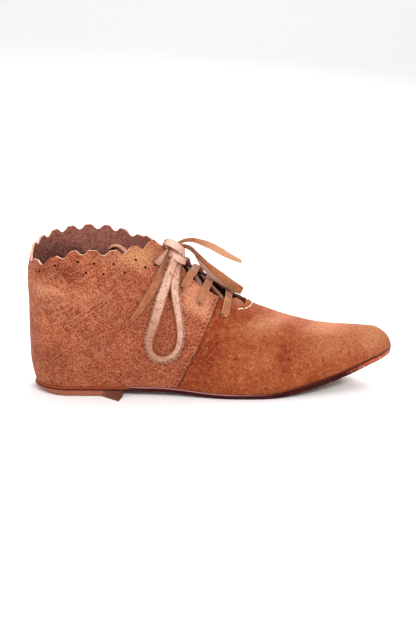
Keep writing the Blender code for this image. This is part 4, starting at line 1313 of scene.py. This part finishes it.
class Thong:
    """Strips of the lace gathered into one mesh, each with rounded edges and a face on either side."""

    def __init__(self):
        self.points, self.pattern, self.faces = [], [], []

    def strip(self, points, faces, widths=(1.0, 1.0), flesh_out=False, seed=0.0, shades=(0.0, 0.0),
              slides=(0.0, 0.0), knot=None, lead=(), tail=()):
        """Lay a strip along the points, its face turned to the faces; widths are shares along it.

        Shades of painted light run along it too, from -1 for a painted highlight to 1 for painted shade, and
        slides move it sideways.
        Points of a lead before it and a tail after it are inside the knot, and those lengths go to the knot.
        """
        points = [Vector(p) for p in (*lead, *points, *tail)]
        faces = [faces[0]] * len(lead) + list(faces) + [faces[-1]] * len(tail)
        count = max(THONG_RINGS, round(route_length(points) / THONG_STEP))
        line = spread_along(points, points, count)
        outs = spread_along(points, faces, count)
        steps = distances(points)
        known = steps if len(widths) == len(points) else np.linspace(0, steps[-1], len(widths))
        shares = np.interp(np.linspace(0, steps[-1], count), known, widths)
        shades = np.interp(np.linspace(0, 1, count), np.linspace(0, 1, len(shades)), shades)
        slides = np.interp(np.linspace(0, 1, count), np.linspace(0, 1, len(slides)), slides)
        rings = []
        for n in range(count):
            ahead = (line[min(n + 1, count - 1)] - line[max(n - 1, 0)]).normalized()
            across = ahead.cross(outs[n]).normalized()
            out = across.cross(ahead).normalized()
            half = THONG_WIDTH / 2 * shares[n] * waver(WIDTH_WAVER, n, seed)
            thick = THONG_THICK / 2 * waver(THICK_WAVER, n, seed)
            ring = []
            for k in range(THONG_SECTION):
                turn = 2 * math.pi * k / THONG_SECTION
                c, s = math.cos(turn), math.sin(turn)
                a, o = math.copysign(abs(c) ** ACROSS_POWER, c), math.copysign(abs(s) ** OUT_POWER, s)
                place = line[n] + across * (a * half + slides[n]) + out * o * thick
                ring.append((place, (a, -o if flesh_out else o, shades[n])))
            rings.append(ring)
        ends = points[len(lead)], points[-1 - len(tail)]
        first, last = (min(range(count), key=lambda n: (line[n] - end).length) for end in ends)
        if knot:
            knot.skin(rings[: first + 1])
            knot.skin(rings[last:])
        self.skin(rings[first : last + 1])
        return line[first : last + 1]

    def skin(self, rings):
        """Add the surface through these rings, closed at both ends."""
        if len(rings) < 2:
            return
        first, deep = len(self.points), THONG_SECTION
        for ring in rings:
            self.points += [point for point, _ in ring]
            self.pattern += [mark for _, mark in ring]
        for n in range(len(rings) - 1):
            for k in range(deep):
                a, b = first + n * deep + k, first + n * deep + (k + 1) % deep
                self.faces.append((a, b, b + deep, a + deep))
        self.faces.append([first + k for k in reversed(range(deep))])
        last = first + (len(rings) - 1) * deep
        self.faces.append([last + k for k in range(deep)])

    def whiskers(self, line, outs):
        """Short loose fibres along the outer edge of a napped loop."""
        step, apart, layer = WHISKER_DRAW
        for n in range(WHISKERS):
            draw = [noise.noise(Vector((n * step, k * apart, layer))) for k in range(4)]
            at = 1 + int((n * WHISKER_SPACING % 1.0) ** WHISKER_CROWD * (len(line) - 3))
            ahead = (line[at + 1] - line[at - 1]).normalized()
            out = outs[min(len(outs) - 1, round(at / len(line) * (len(outs) - 1)))]
            across = ahead.cross(out).normalized()
            root = line[at] + across * THONG_WIDTH * (WHISKER_ROOT + WHISKER_ROOT_SPREAD * draw[3])
            root += out * draw[0] * WHISKER_DEPTH
            way = (across + ahead * draw[1] * WHISKER_LEAN + out * draw[2]).normalized()
            reach = way * (WHISKER_SHORT + WHISKER_LONGER * abs(draw[3]))
            first = len(self.points)
            for share, thick in WHISKER_SECTIONS:
                middle = root + reach * share + ahead * draw[2] * share * share
                for turn in WHISKER_TURNS:
                    around = out * math.cos(turn) + ahead * math.sin(turn)
                    self.points.append(middle + around * thick)
                    self.pattern.append(WHISKER_MARK)
            for k in (0, 3):
                for j in range(3):
                    a, b = first + k + j, first + k + (j + 1) % 3
                    self.faces.append((a, b, b + 3, a + 3))
            self.faces.append((first + 6, first + 7, first + 8))
            self.faces.append((first + 2, first + 1, first))

    def finish(self, name, material, *nodes):
        """Make the gathered strips one piece, which stands for these solids."""
        thing = closed_mesh(name, self.points, self.faces, material, self.pattern, THONG_SHARP)
        return settle(thing, "thong_leather", *nodes)


def facing_point(side, along, lift):
    """A point a little above the throat's facing edge, and the direction out of the upper there."""
    out = upper_normal(side, along, FACING_LEVEL)
    return upper_point(side, along, FACING_LEVEL, False) + out * lift, out


def into_hole(side, number):
    """A thong coming out of a lace hole: points inside the shoe, in the hole and above it, and facings."""
    middle, out, along, level = hole_place(side, number)
    up = (upper_point(side, along, level + LEVEL_STEP, False) - middle).normalized()
    mouth = middle - up * MOUTH_LOW
    inside, above = mouth - out * MOUTH_DEEP - up * MOUTH_STEP, mouth + up * MOUTH_STEP + out * BAR_OFF
    return [inside, mouth - out * MOUTH_STEP, above], [up, up + out * HALF_TURNED, out]


def over_route(number):
    """Route of a thong over the throat, out of a lateral lace hole and into its medial one."""
    start, end = hole_place(LATERAL, number)[2], hole_place(MEDIAL, number)[2]
    near, near_faces = into_hole(LATERAL, number)
    far, far_faces = into_hole(MEDIAL, number)
    near_out, far_out = near_faces[-1], far_faces[-1]
    first, first_out = facing_point(LATERAL, start + BAR_LEAN * (end - start), BAR_LIFT[number][0])
    last, last_out = facing_point(MEDIAL, end - BAR_LEAN * (end - start), BAR_LIFT[number][1])
    middle = (first + last) / 2 + Vector((0, 0, BAR_RISE))
    between = first_out + last_out
    between.y = 0
    points = near + [(near[2] + first) / 2 + near_out * BAR_BOW, first, middle, last]
    points += [(far[2] + last) / 2 + far_out * BAR_BOW] + far[::-1]
    faces = near_faces + [(near_out + first_out) / 2, first_out, between.normalized(), last_out]
    faces += [(far_out + last_out) / 2] + far_faces[::-1]
    widths = [*HOLE_WIDTHS] + [1.0] * 5 + [*HOLE_WIDTHS[::-1]]
    return points, faces, widths


def under_route(number, first, last):
    """Route of the inner thong under a bar that goes from first to last, from the next lateral hole."""
    ends, deep = [], []
    for side, hole in ((LATERAL, number + 1), (MEDIAL, number - 1)):
        middle, out, along, _ = hole_place(side, hole)
        half, height, _ = top_edge(side, along)
        ends.append(Vector((along, ridge_y(along) + side * (half - UNDER_SHORT), height - UNDER_DEEP)))
        deep.append(middle - out * (WALL + UNDER_INSIDE))
    over, under = last - first, ends[1] - ends[0]
    turn = over.x * under.y - over.y * under.x
    start = ends[0] - first
    crossing = first + over * ((start.x * under.y - start.y * under.x) / turn)
    crossing.z += BAR_RISE - JOIN_DEEP - UNDER_BELOW
    lower = Vector((0, 0, -UNDER_SAG))
    return [deep[0], ends[0] + lower, crossing, ends[1] + lower, deep[1]]


def make_crossing(number, material):
    """A thong over the throat, with the inner thong that crosses under it."""
    thong = Thong()
    points, faces, widths = over_route(number)
    thong.strip(points, faces, widths, False, number * BAR_SEED, BAR_SHADES)
    if number == max(BAR_LIFT):
        return thong.finish("thong_bar", material, "lace_bar")
    route = under_route(number, points[4], points[6])
    thong.strip(route, [THROAT_OUT] * len(route), (1.0, 1.0), True, number * UNDER_SEED, UNDER_SHADES)
    return thong.finish(f"thong_cross_{number}", material, f"lace_cross_{number}")


def from_rows(rows, kind=""):
    """The points of a table, or the directions in another kind of its columns."""
    return [Vector(row) for row in zip(*(rows[kind + axis] for axis in "xyz"))]


def wind_knot():
    """The knot: turns of the thong round a core, and the strands from it into the top pair of holes."""
    thong = Thong()
    for rows, width, flesh, shades in KNOT_TURNS:
        points = [KNOT_MIDDLE + p for p in from_rows(rows)]
        thong.strip(points, from_rows(rows, "face_"), (width, width), flesh, TURN_SEED * width, shades)
    for side in (LATERAL, MEDIAL):
        inside, faces = into_hole(side, 0)
        out = faces[-1]
        end = KNOT_MIDDLE + Vector((STRAND_END[0], side * STRAND_END[1], STRAND_END[2]))
        points = inside + [(inside[2] + end) / 2 + out * STRAND_BOW, end]
        faces += [out, (out + STRAND_OUT).normalized()]
        thong.strip(points, faces, STRAND_WIDTHS, True, side * STRAND_SEED, STRAND_SHADES)
    core = len(thong.points)
    bm = bmesh.new()
    bmesh.ops.create_icosphere(bm, subdivisions=3, radius=1.0)
    for vert in bm.verts:
        bulge = 1 + CORE_LUMPY * noise.noise(vert.co * CORE_LUMPS)
        place = Vector([c * size * bulge for c, size in zip(vert.co, KNOT_CORE)])
        thong.points.append(KNOT_MIDDLE + place + CORE_PLACE)
        # The core is painted in full shade
        thong.pattern.append((0.0, 1.0, 1.0))
    bm.verts.index_update()
    thong.faces += [[core + vert.index for vert in face.verts] for face in bm.faces]
    bm.free()
    return thong


def tie_cord(line, far_end, lay, with_pieces):
    """Work out a loop or end of the bow as a free length of thong: its path and sizes, which are not kept."""
    path = [tuple(p * MM) for p in line]
    sizes = {"length": route_length(line) * MM, "diameter": THONG_WIDTH * MM}
    sizes |= {"far_end": far_end, "lay": lay, "with_pieces": with_pieces}
    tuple(path[0])


def against_upper(rows):
    """Points of a length of thong that hangs beside the upper, and its facings."""
    places = [beside(LATERAL, *row) for row in zip(rows["x"], rows["z"], rows["off"])]
    return [point for point, _ in places], [out for _, out in places]


def bow_route(name):
    """Points of one loop or end of the bow, and its facings."""
    if name == "near_loop":
        return against_upper(NEAR_LOOP)
    if name == "near_end":
        return against_upper(NEAR_END)
    if name == "far_end":
        return from_rows(FAR_END), [FAR_END_OUT] * len(FAR_END["x"])
    points = from_rows(FAR_LOOP)
    ways = [b - a for a, b in zip(points, points[1:])]
    return points, [way.cross(FAR_LOOP_ACROSS).normalized() for way in ways + ways[-1:]]


def make_bow(material):
    """The bow's two loops and two ends, and its knot."""
    knot = wind_knot()
    inside = {name: [KNOT_MIDDLE + Vector(place)] for name, place in KNOT_INSIDE.items()}
    thongs = {name: Thong() for name in BOW_WIDTHS}
    lines = {}
    for name, thong in thongs.items():
        points, faces = bow_route(name)
        ends = {"knot": knot, "lead": inside[name], "tail": inside.get(name + "_back", ())}
        ends |= {"shades": BOW_SHADES[name], "slides": BOW_SLIDES.get(name, (0.0, 0.0))}
        napped = name == "near_loop"
        lines[name] = thong.strip(points, faces, BOW_WIDTHS[name], napped, BOW_SEEDS[name], **ends)
        if napped:
            thong.whiskers(lines[name], faces)
    tied = knot.finish("bow_knot", material, "lace_knot")
    for name, line in lines.items():
        where, part = name.split("_")
        thing = thongs[name].finish(f"bow_{name}", material, f"lace_{part}_{where}")
        far_end, lay = "object" if part == "loop" else "bare", "hanging" if where == "near" else "loose"
        tie_cord(line, far_end, lay, [tied] if name == "far_loop" else [])


def make_tongue(material):
    """The tongue: a bent leaf of leather under the throat, with rounded edges."""
    line = [Vector((x, 0, z)) for x, z in zip(TONGUE["x"], TONGUE["z"])]
    rows = list(zip(TONGUE["x"], TONGUE["half_width"], TONGUE["z"]))
    points, pattern = [], []
    for n, (x, half, z) in enumerate(spread_along(line, rows, TONGUE_STEPS)):
        far = n / (TONGUE_STEPS - 1)
        flat, top = ease((x - FLAT_FROM) / FLAT_RUN), ease((far - TOP_FROM) / TOP_RUN)
        for k in range(TONGUE_ACROSS + 1):
            share = 2 * k / TONGUE_ACROSS - 1
            curl = TONGUE_CURL * noise.noise(Vector((x * CURL_ALONG, share * CURL_ACROSS, CURL_LAYER)))
            camber = TONGUE_CAMBER * (1 - FLAT_SHARE * flat * (share > 0)) * (1 - TOP_FLATTER * top)
            points.append((x, share * half, z - camber * share * share - TONGUE_LEAN * share * top + curl))
            pattern.append((far, share, 0))
    rough = add_mesh("rough_tongue", points, grid_faces(TONGUE_STEPS, TONGUE_ACROSS + 1), [material])
    carry(rough.data, "pattern", pattern)
    shell = rough.modifiers.new("thickness", "SOLIDIFY")
    shell.thickness, shell.offset = TONGUE_THICK * MM, 0
    rounded = rough.modifiers.new("rounding", "BEVEL")
    rounded.width, rounded.segments, rounded.limit_method = TONGUE_ROUNDING * MM, 2, "ANGLE"
    return settle(applied(rough, "tongue_leaf"), "tongue_leather", "tongue")


def stitch_point(angle, lift):
    """A point on the oval round the throat's end, at this angle from straight ahead, lifted off the upper."""
    along = THROAT_END - THROAT_ROUND + (THROAT_ROUND + STITCH_AHEAD) * math.cos(angle)
    side = LATERAL if angle < 0 else MEDIAL
    out = (throat_of[side](THROAT_END - STITCH_BEHIND) + STITCH_BESIDE) * abs(math.sin(angle))
    level = level_where(side, along, -out, lambda p: -abs(p.y - ridge_y(along)))
    return upper_point(side, along, level, False) + upper_normal(side, along, min(level, STITCH_LEVEL)) * lift


def make_stitches(material):
    """Hand stitches round the throat's end, which hold the tongue."""
    curve = bpy.data.curves.new("throat_stitches", "CURVE")
    curve.dimensions, curve.bevel_depth, curve.bevel_resolution = "3D", STITCH_RADIUS * MM, 3
    curve.use_fill_caps = True
    for start, end in zip(STITCHES["from"], STITCHES["to"]):
        spline = curve.splines.new("POLY")
        spline.points.add(STITCH_POINTS - 1)
        for point, share in zip(spline.points, np.linspace(0, 1, STITCH_POINTS)):
            from_middle = abs(2 * share - 1)
            lift = STITCH_LIFT - STITCH_DIVE * from_middle**4
            place = stitch_point(math.radians(start + (end - start) * share), lift)
            point.co = (*place * MM, 1)
            point.radius = 1 - STITCH_TAPER * from_middle**3
    stitches = applied(new_object("rough_stitches", curve), "throat_stitches")
    stitches.data.materials.clear()
    stitches.data.materials.append(material)
    stitches.data.polygons.foreach_set("use_smooth", [True] * len(stitches.data.polygons))
    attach(stitches, "root")


class TurnshoeColours(bpy.types.PropertyGroup):
    """Colours of the leathers, thread and floor."""


def colour_property(name, title, value, words):
    """Add one colour to the colours that a user can change."""
    made = bpy.props.FloatVectorProperty(
        name=title, description=words, default=value, size=3, min=0.0, max=1.0, subtype="COLOR"
    )
    TurnshoeColours.__annotations__[name] = made


TurnshoeColours.__annotations__ = {}
for entry in (
    ("quarter", "Quarter", (0.315, 0.066, 0.026), "Leather of the quarters"),
    ("quarter_deep", "Quarter, deep", (0.232, 0.042, 0.0164), "Darker drift in the quarters"),
    ("quarter_pale", "Quarter, pale", (0.398, 0.122, 0.055), "Rubbed ridges of the grain"),
    ("pore", "Pores", (0.55, 0.35, 0.3), "Darkening in the pores"),
    ("ridge", "Ridges", (0.166, 0.099, 0.056), "Light added along the ridges of the grain"),
    # Darkening where the tone is negative: dark stains, darker creases, and painted shade of the near loop on
    # the quarter
    ("dirt", "Dirt", (0.62, 0.41, 0.35), "Darkening of soiled hollows"),
    ("red", "Red tint", (0.216, 0.033, 0.014), "Where the dye shows redder"),
    ("sheen", "Sheen", (1.0, 0.82, 0.76), "Glow of the nap at grazing angles"),
    # Also the painted highlight along the vamp's top
    ("rubbed", "Rubbed leather", (0.548, 0.213, 0.121), "Where the grain is rubbed pale"),
    ("ochre", "Ochre leather", (0.468, 0.21, 0.096), "Where the dye shows more yellow"),
    ("vamp", "Vamp", (0.307, 0.072, 0.023), "Leather of the vamp"),
    ("vamp_deep", "Vamp, deep", (0.207, 0.029, 0.0054), "Darker drift in the vamp"),
    ("vamp_pale", "Vamp, pale", (0.398, 0.122, 0.046), "Fine pale mottling of the vamp"),
    # Painted shadow: along the seam between quarter and vamp, inside the holes, and on the tongue in the
    # throat
    ("seam", "Seam", (0.05, 0.012, 0.008), "Dirt in the seam between quarter and vamp"),
    ("inside", "Inside", (0.335, 0.128, 0.092), "Flesh side of the upper"),
    # Painted shade low inside the shoe, and on the sole's top inside it
    ("inside_deep", "Inside, deep", (0.107, 0.043, 0.032), "Darker drift inside"),
    ("inside_pale", "Inside, pale", (0.365, 0.175, 0.139), "Nap inside"),
    ("edge", "Cut edge", (0.82, 0.55, 0.43), "Cut edges of the upper"),
    ("edge_deep", "Cut edge, deep", (0.48, 0.22, 0.14), "Darker fibres in the cut edges"),
    ("throat_edge", "Throat edge", (0.13, 0.045, 0.028), "Dyed edges of the throat"),
    # Painted shade on the walls of the holes
    ("hole", "Holes", (0.012, 0.004, 0.003), "Soiled walls of the holes"),
    ("sole", "Sole", (0.055, 0.008, 0.009), "Burnished edge of the sole"),
    ("sole_deep", "Sole, deep", (0.025, 0.004, 0.005), "Darker streaks of the sole's edge"),
    # Painted highlight along the sole's top corner
    ("sole_corner", "Sole corner", (0.5, 0.24, 0.22), "Worn upper corner of the sole's edge"),
    ("sole_toe", "Sole toe", (0.42, 0.085, 0.03), "Redder edge at the toe"),
    # Painted glints on the toe's glossy edge
    ("sole_fleck", "Sole fleck", (0.7, 0.36, 0.28), "Pale flecks in the toe's edge"),
    ("sole_under", "Sole underside", (0.30, 0.16, 0.10), "Scuffed underside of the sole"),
    ("lift", "Heel layer", (0.361, 0.11, 0.06), "Raw leather of the heel layer"),
    ("lift_deep", "Heel layer, deep", (0.229, 0.06, 0.032), "Darker fibres of the heel layer"),
    ("lift_pale", "Heel layer, pale", (0.44, 0.185, 0.122), "Paler fibres of the heel layer"),
    ("loose_corner", "Loose corner", (0.176, 0.053, 0.033), "Napped corner of the heel layer"),
    ("loose_corner_deep", "Loose corner, deep", (0.097, 0.026, 0.0174), "Darker nap of the loose corner"),
    ("thong", "Thong", (0.37, 0.131, 0.054), "Grain side of the thong"),
    # Also painted shade on lightly shaded flesh strips and along the edges of flesh strips
    ("thong_deep", "Thong, deep", (0.246, 0.077, 0.032), "Darker drift of the thong's grain side"),
    # Also painted highlight on the grain side
    ("thong_pale", "Thong, pale", (0.581, 0.297, 0.163), "Rubbed places and edges of the thong"),
    ("thong_shade", "Thong, shaded", (0.105, 0.047, 0.035), "Thong in the depth of the throat and knot"),
    ("nap", "Nap", (0.423, 0.203, 0.136), "Flesh side of the thong"),
    ("nap_deep", "Nap, deep", (0.23, 0.09, 0.062), "Darker fibres of the thong's flesh side"),
    # Also painted highlight on the flesh side
    ("nap_pale", "Nap, pale", (0.78, 0.52, 0.41), "Paler fibres of the thong's flesh side"),
    ("tongue", "Tongue", (0.306, 0.115, 0.055), "Leather of the tongue"),
    ("tongue_deep", "Tongue, deep", (0.204, 0.066, 0.032), "Darker drift of the tongue"),
    ("thread", "Thread", (0.88, 0.78, 0.58), "Waxed thread"),
    ("thread_deep", "Thread, deep", (0.62, 0.46, 0.28), "Soiled thread"),
    ("floor", "Floor", (0.93, 0.93, 0.925), "Studio floor"),
    ("floor_shade", "Floor, shaded", (0.91, 0.91, 0.905), "Faint clouds in the floor"),
):
    colour_property(*entry)


class TurnshoeStage(bpy.types.PropertyGroup):
    """Camera and lights."""

    elevation: bpy.props.FloatProperty(
        name="Elevation",
        description="Camera's angle above the floor",
        default=math.radians(16),
        subtype="ANGLE",
    )
    distance: bpy.props.FloatProperty(
        name="Distance",
        description="Camera's distance from its target",
        default=1.1,
        unit="LENGTH",
    )
    target: bpy.props.FloatVectorProperty(
        name="Target",
        description="Point that the camera looks at",
        default=(0.110, 0.0, 0.060),
        subtype="XYZ",
    )
    pixel: bpy.props.FloatProperty(
        name="Pixel size",
        description="Size of a pixel at the target",
        default=0.000812,
        precision=6,
        unit="LENGTH",
    )
    target_pixel: bpy.props.FloatVectorProperty(
        name="Target pixel",
        description="Where the target falls in the image",
        default=(205.5, 313.5),
        size=2,
    )
    world: bpy.props.FloatProperty(name="Surroundings", description="Strength of the even light", default=0.6)


IMAGE_WIDE, IMAGE_HIGH, SENSOR_WIDE = 416, 624, 36.0

# The floor in metres: it ends in a sweep that rises behind the shoe
FLOOR_FRONT, FLOOR_BACK, FLOOR_SWEEP, FLOOR_TOP, FLOOR_HALF = -3.0, 0.9, 0.8, 3.0, 4.0
FLOOR_BENDS, FLOOR_BELOW, METRE = 24, 0.0001, 1000.0

# Area lights: place, aim, size in metres and power in watts
LIGHTS = (
    ("key_light", (0.62, -0.90, 0.80), (0.10, 0.0, 0.05), 0.3, 8.5),
    ("fill_light", (-0.95, -0.65, 0.55), (0.05, 0.0, 0.05), 1.0, 6.5),
    ("top_light", (0.15, 0.10, 1.20), (0.10, 0.0, 0.05), 1.5, 6.5),
    ("back_light", (0.30, 0.80, 0.75), (0.14, 0.0, 0.05), 0.6, 10.0),
)


def make_camera(stage):
    """The camera, shifted so that its target falls on the pixel given for it."""
    data = bpy.data.cameras.new("camera")
    camera = new_object("camera", data)
    towards = Vector((0, -math.cos(stage.elevation), math.sin(stage.elevation)))
    camera.location = Vector(stage.target) + towards * stage.distance
    camera.rotation_euler = towards.to_track_quat("Z", "Y").to_euler()
    data.sensor_fit, data.sensor_width = "HORIZONTAL", SENSOR_WIDE
    data.lens = data.sensor_width * stage.distance / (stage.pixel * IMAGE_WIDE)
    data.shift_x = (IMAGE_WIDE / 2 - stage.target_pixel[0]) / IMAGE_WIDE
    data.shift_y = (stage.target_pixel[1] - IMAGE_HIGH / 2) / IMAGE_WIDE
    bpy.context.scene.camera = camera


def make_stage(stage, material):
    """The floor, the lights and the even light around."""
    bends = np.linspace(0, math.pi / 2, FLOOR_BENDS)
    sweep = [(FLOOR_FRONT, 0.0)]
    sweep += [(FLOOR_BACK + FLOOR_SWEEP * math.sin(t), FLOOR_SWEEP * (1 - math.cos(t))) for t in bends]
    sweep.append((FLOOR_BACK + FLOOR_SWEEP, FLOOR_TOP))
    sides = (-FLOOR_HALF * METRE, FLOOR_HALF * METRE)
    points = [(x, y * METRE, z * METRE) for y, z in sweep for x in sides]
    faces = [(2 * n, 2 * n + 1, 2 * n + 3, 2 * n + 2) for n in range(len(sweep) - 1)]
    floor = add_mesh("floor", points, faces, [material])
    floor.location.z = -FLOOR_BELOW
    for name, place, aim, size, power in LIGHTS:
        data = bpy.data.lights.new(name, "AREA")
        data.energy, data.size = power, size
        light = new_object(name, data)
        light.location = place
        light.rotation_euler = (Vector(place) - Vector(aim)).to_track_quat("Z", "Y").to_euler()
    world = bpy.data.worlds.new("surroundings")
    world.use_nodes = True
    around = world.node_tree.nodes["Background"].inputs
    around["Color"].default_value = (1.0, 1.0, 1.0, 1)
    around["Strength"].default_value = stage.world
    bpy.context.scene.world = world
    bpy.context.scene.view_settings.view_transform = "Standard"


class TURNSHOE_OT_stage(bpy.types.Operator):
    """Set up the camera, the floor and the lights"""

    bl_idname, bl_label = "turnshoe.stage", "Stage"

    def execute(self, context):
        make_camera(context.scene.turnshoe_stage)
        make_stage(context.scene.turnshoe_stage, floor_finish(context.scene.turnshoe_colours))
        return {"FINISHED"}


class TURNSHOE_OT_bow(bpy.types.Operator):
    """Tie the bow: knot, loops and ends"""

    bl_idname, bl_label = "turnshoe.bow", "Bow"

    def execute(self, context):
        make_bow(thong_finish(context.scene.turnshoe_colours))
        return {"FINISHED"}


class TURNSHOE_OT_crossings(bpy.types.Operator):
    """Lace the throat"""

    bl_idname, bl_label = "turnshoe.crossings", "Crossings"

    def execute(self, context):
        material = thong_finish(context.scene.turnshoe_colours)
        for number in BAR_LIFT:
            make_crossing(number, material)
        return {"FINISHED"}


class TURNSHOE_OT_upper(bpy.types.Operator):
    """Make the upper"""

    bl_idname, bl_label = "turnshoe.upper", "Upper"

    def execute(self, context):
        colours = context.scene.turnshoe_colours
        # The holes' finish paints their walls in shade
        finishes = (grain_finish, flesh_finish, cut_edge_finish, hole_shade_finish)
        make_upper([finish(colours) for finish in finishes])
        return {"FINISHED"}


class TURNSHOE_OT_sole(bpy.types.Operator):
    """Make the sole and the heel layer"""

    bl_idname, bl_label = "turnshoe.sole", "Sole and heel"

    def execute(self, context):
        colours = context.scene.turnshoe_colours
        make_sole(sole_finish(colours))
        make_heel_layer(lift_finish(colours))
        return {"FINISHED"}


class TURNSHOE_OT_tongue(bpy.types.Operator):
    """Make the tongue and the stitches that hold it"""

    bl_idname, bl_label = "turnshoe.tongue", "Tongue"

    def execute(self, context):
        colours = context.scene.turnshoe_colours
        make_tongue(tongue_finish(colours))
        make_stitches(thread_finish(colours))
        return {"FINISHED"}


OPERATORS = (
    TURNSHOE_OT_stage,
    TURNSHOE_OT_bow,
    TURNSHOE_OT_crossings,
    TURNSHOE_OT_upper,
    TURNSHOE_OT_sole,
    TURNSHOE_OT_tongue,
)


class TURNSHOE_PT_panel(bpy.types.Panel):
    """Lists the steps that dress the shoe"""

    bl_idname, bl_label = "TURNSHOE_PT_panel", "Turnshoe"
    bl_space_type, bl_region_type, bl_category = "VIEW_3D", "UI", "Turnshoe"

    def draw(self, context):
        for operator in OPERATORS:
            self.layout.operator(operator.bl_idname)
        for name in TurnshoeColours.__annotations__:
            self.layout.prop(context.scene.turnshoe_colours, name)


CLASSES = (TurnshoeColours, TurnshoeStage, *OPERATORS, TURNSHOE_PT_panel)


def register():
    """Add the classes and the settings that a scene carries."""
    for made in CLASSES:
        bpy.utils.register_class(made)
    bpy.types.Scene.turnshoe_colours = bpy.props.PointerProperty(type=TurnshoeColours)
    bpy.types.Scene.turnshoe_stage = bpy.props.PointerProperty(type=TurnshoeStage)


def unregister():
    """Take the settings and the classes away again."""
    del bpy.types.Scene.turnshoe_stage
    del bpy.types.Scene.turnshoe_colours
    for made in reversed(CLASSES):
        bpy.utils.unregister_class(made)


def main():
    """Dress the shoe."""
    register()
    bpy.ops.turnshoe.stage()
    bpy.ops.turnshoe.bow()
    bpy.ops.turnshoe.crossings()
    bpy.ops.turnshoe.upper()
    bpy.ops.turnshoe.sole()
    bpy.ops.turnshoe.tongue()


if __name__ == "__main__":
    main()
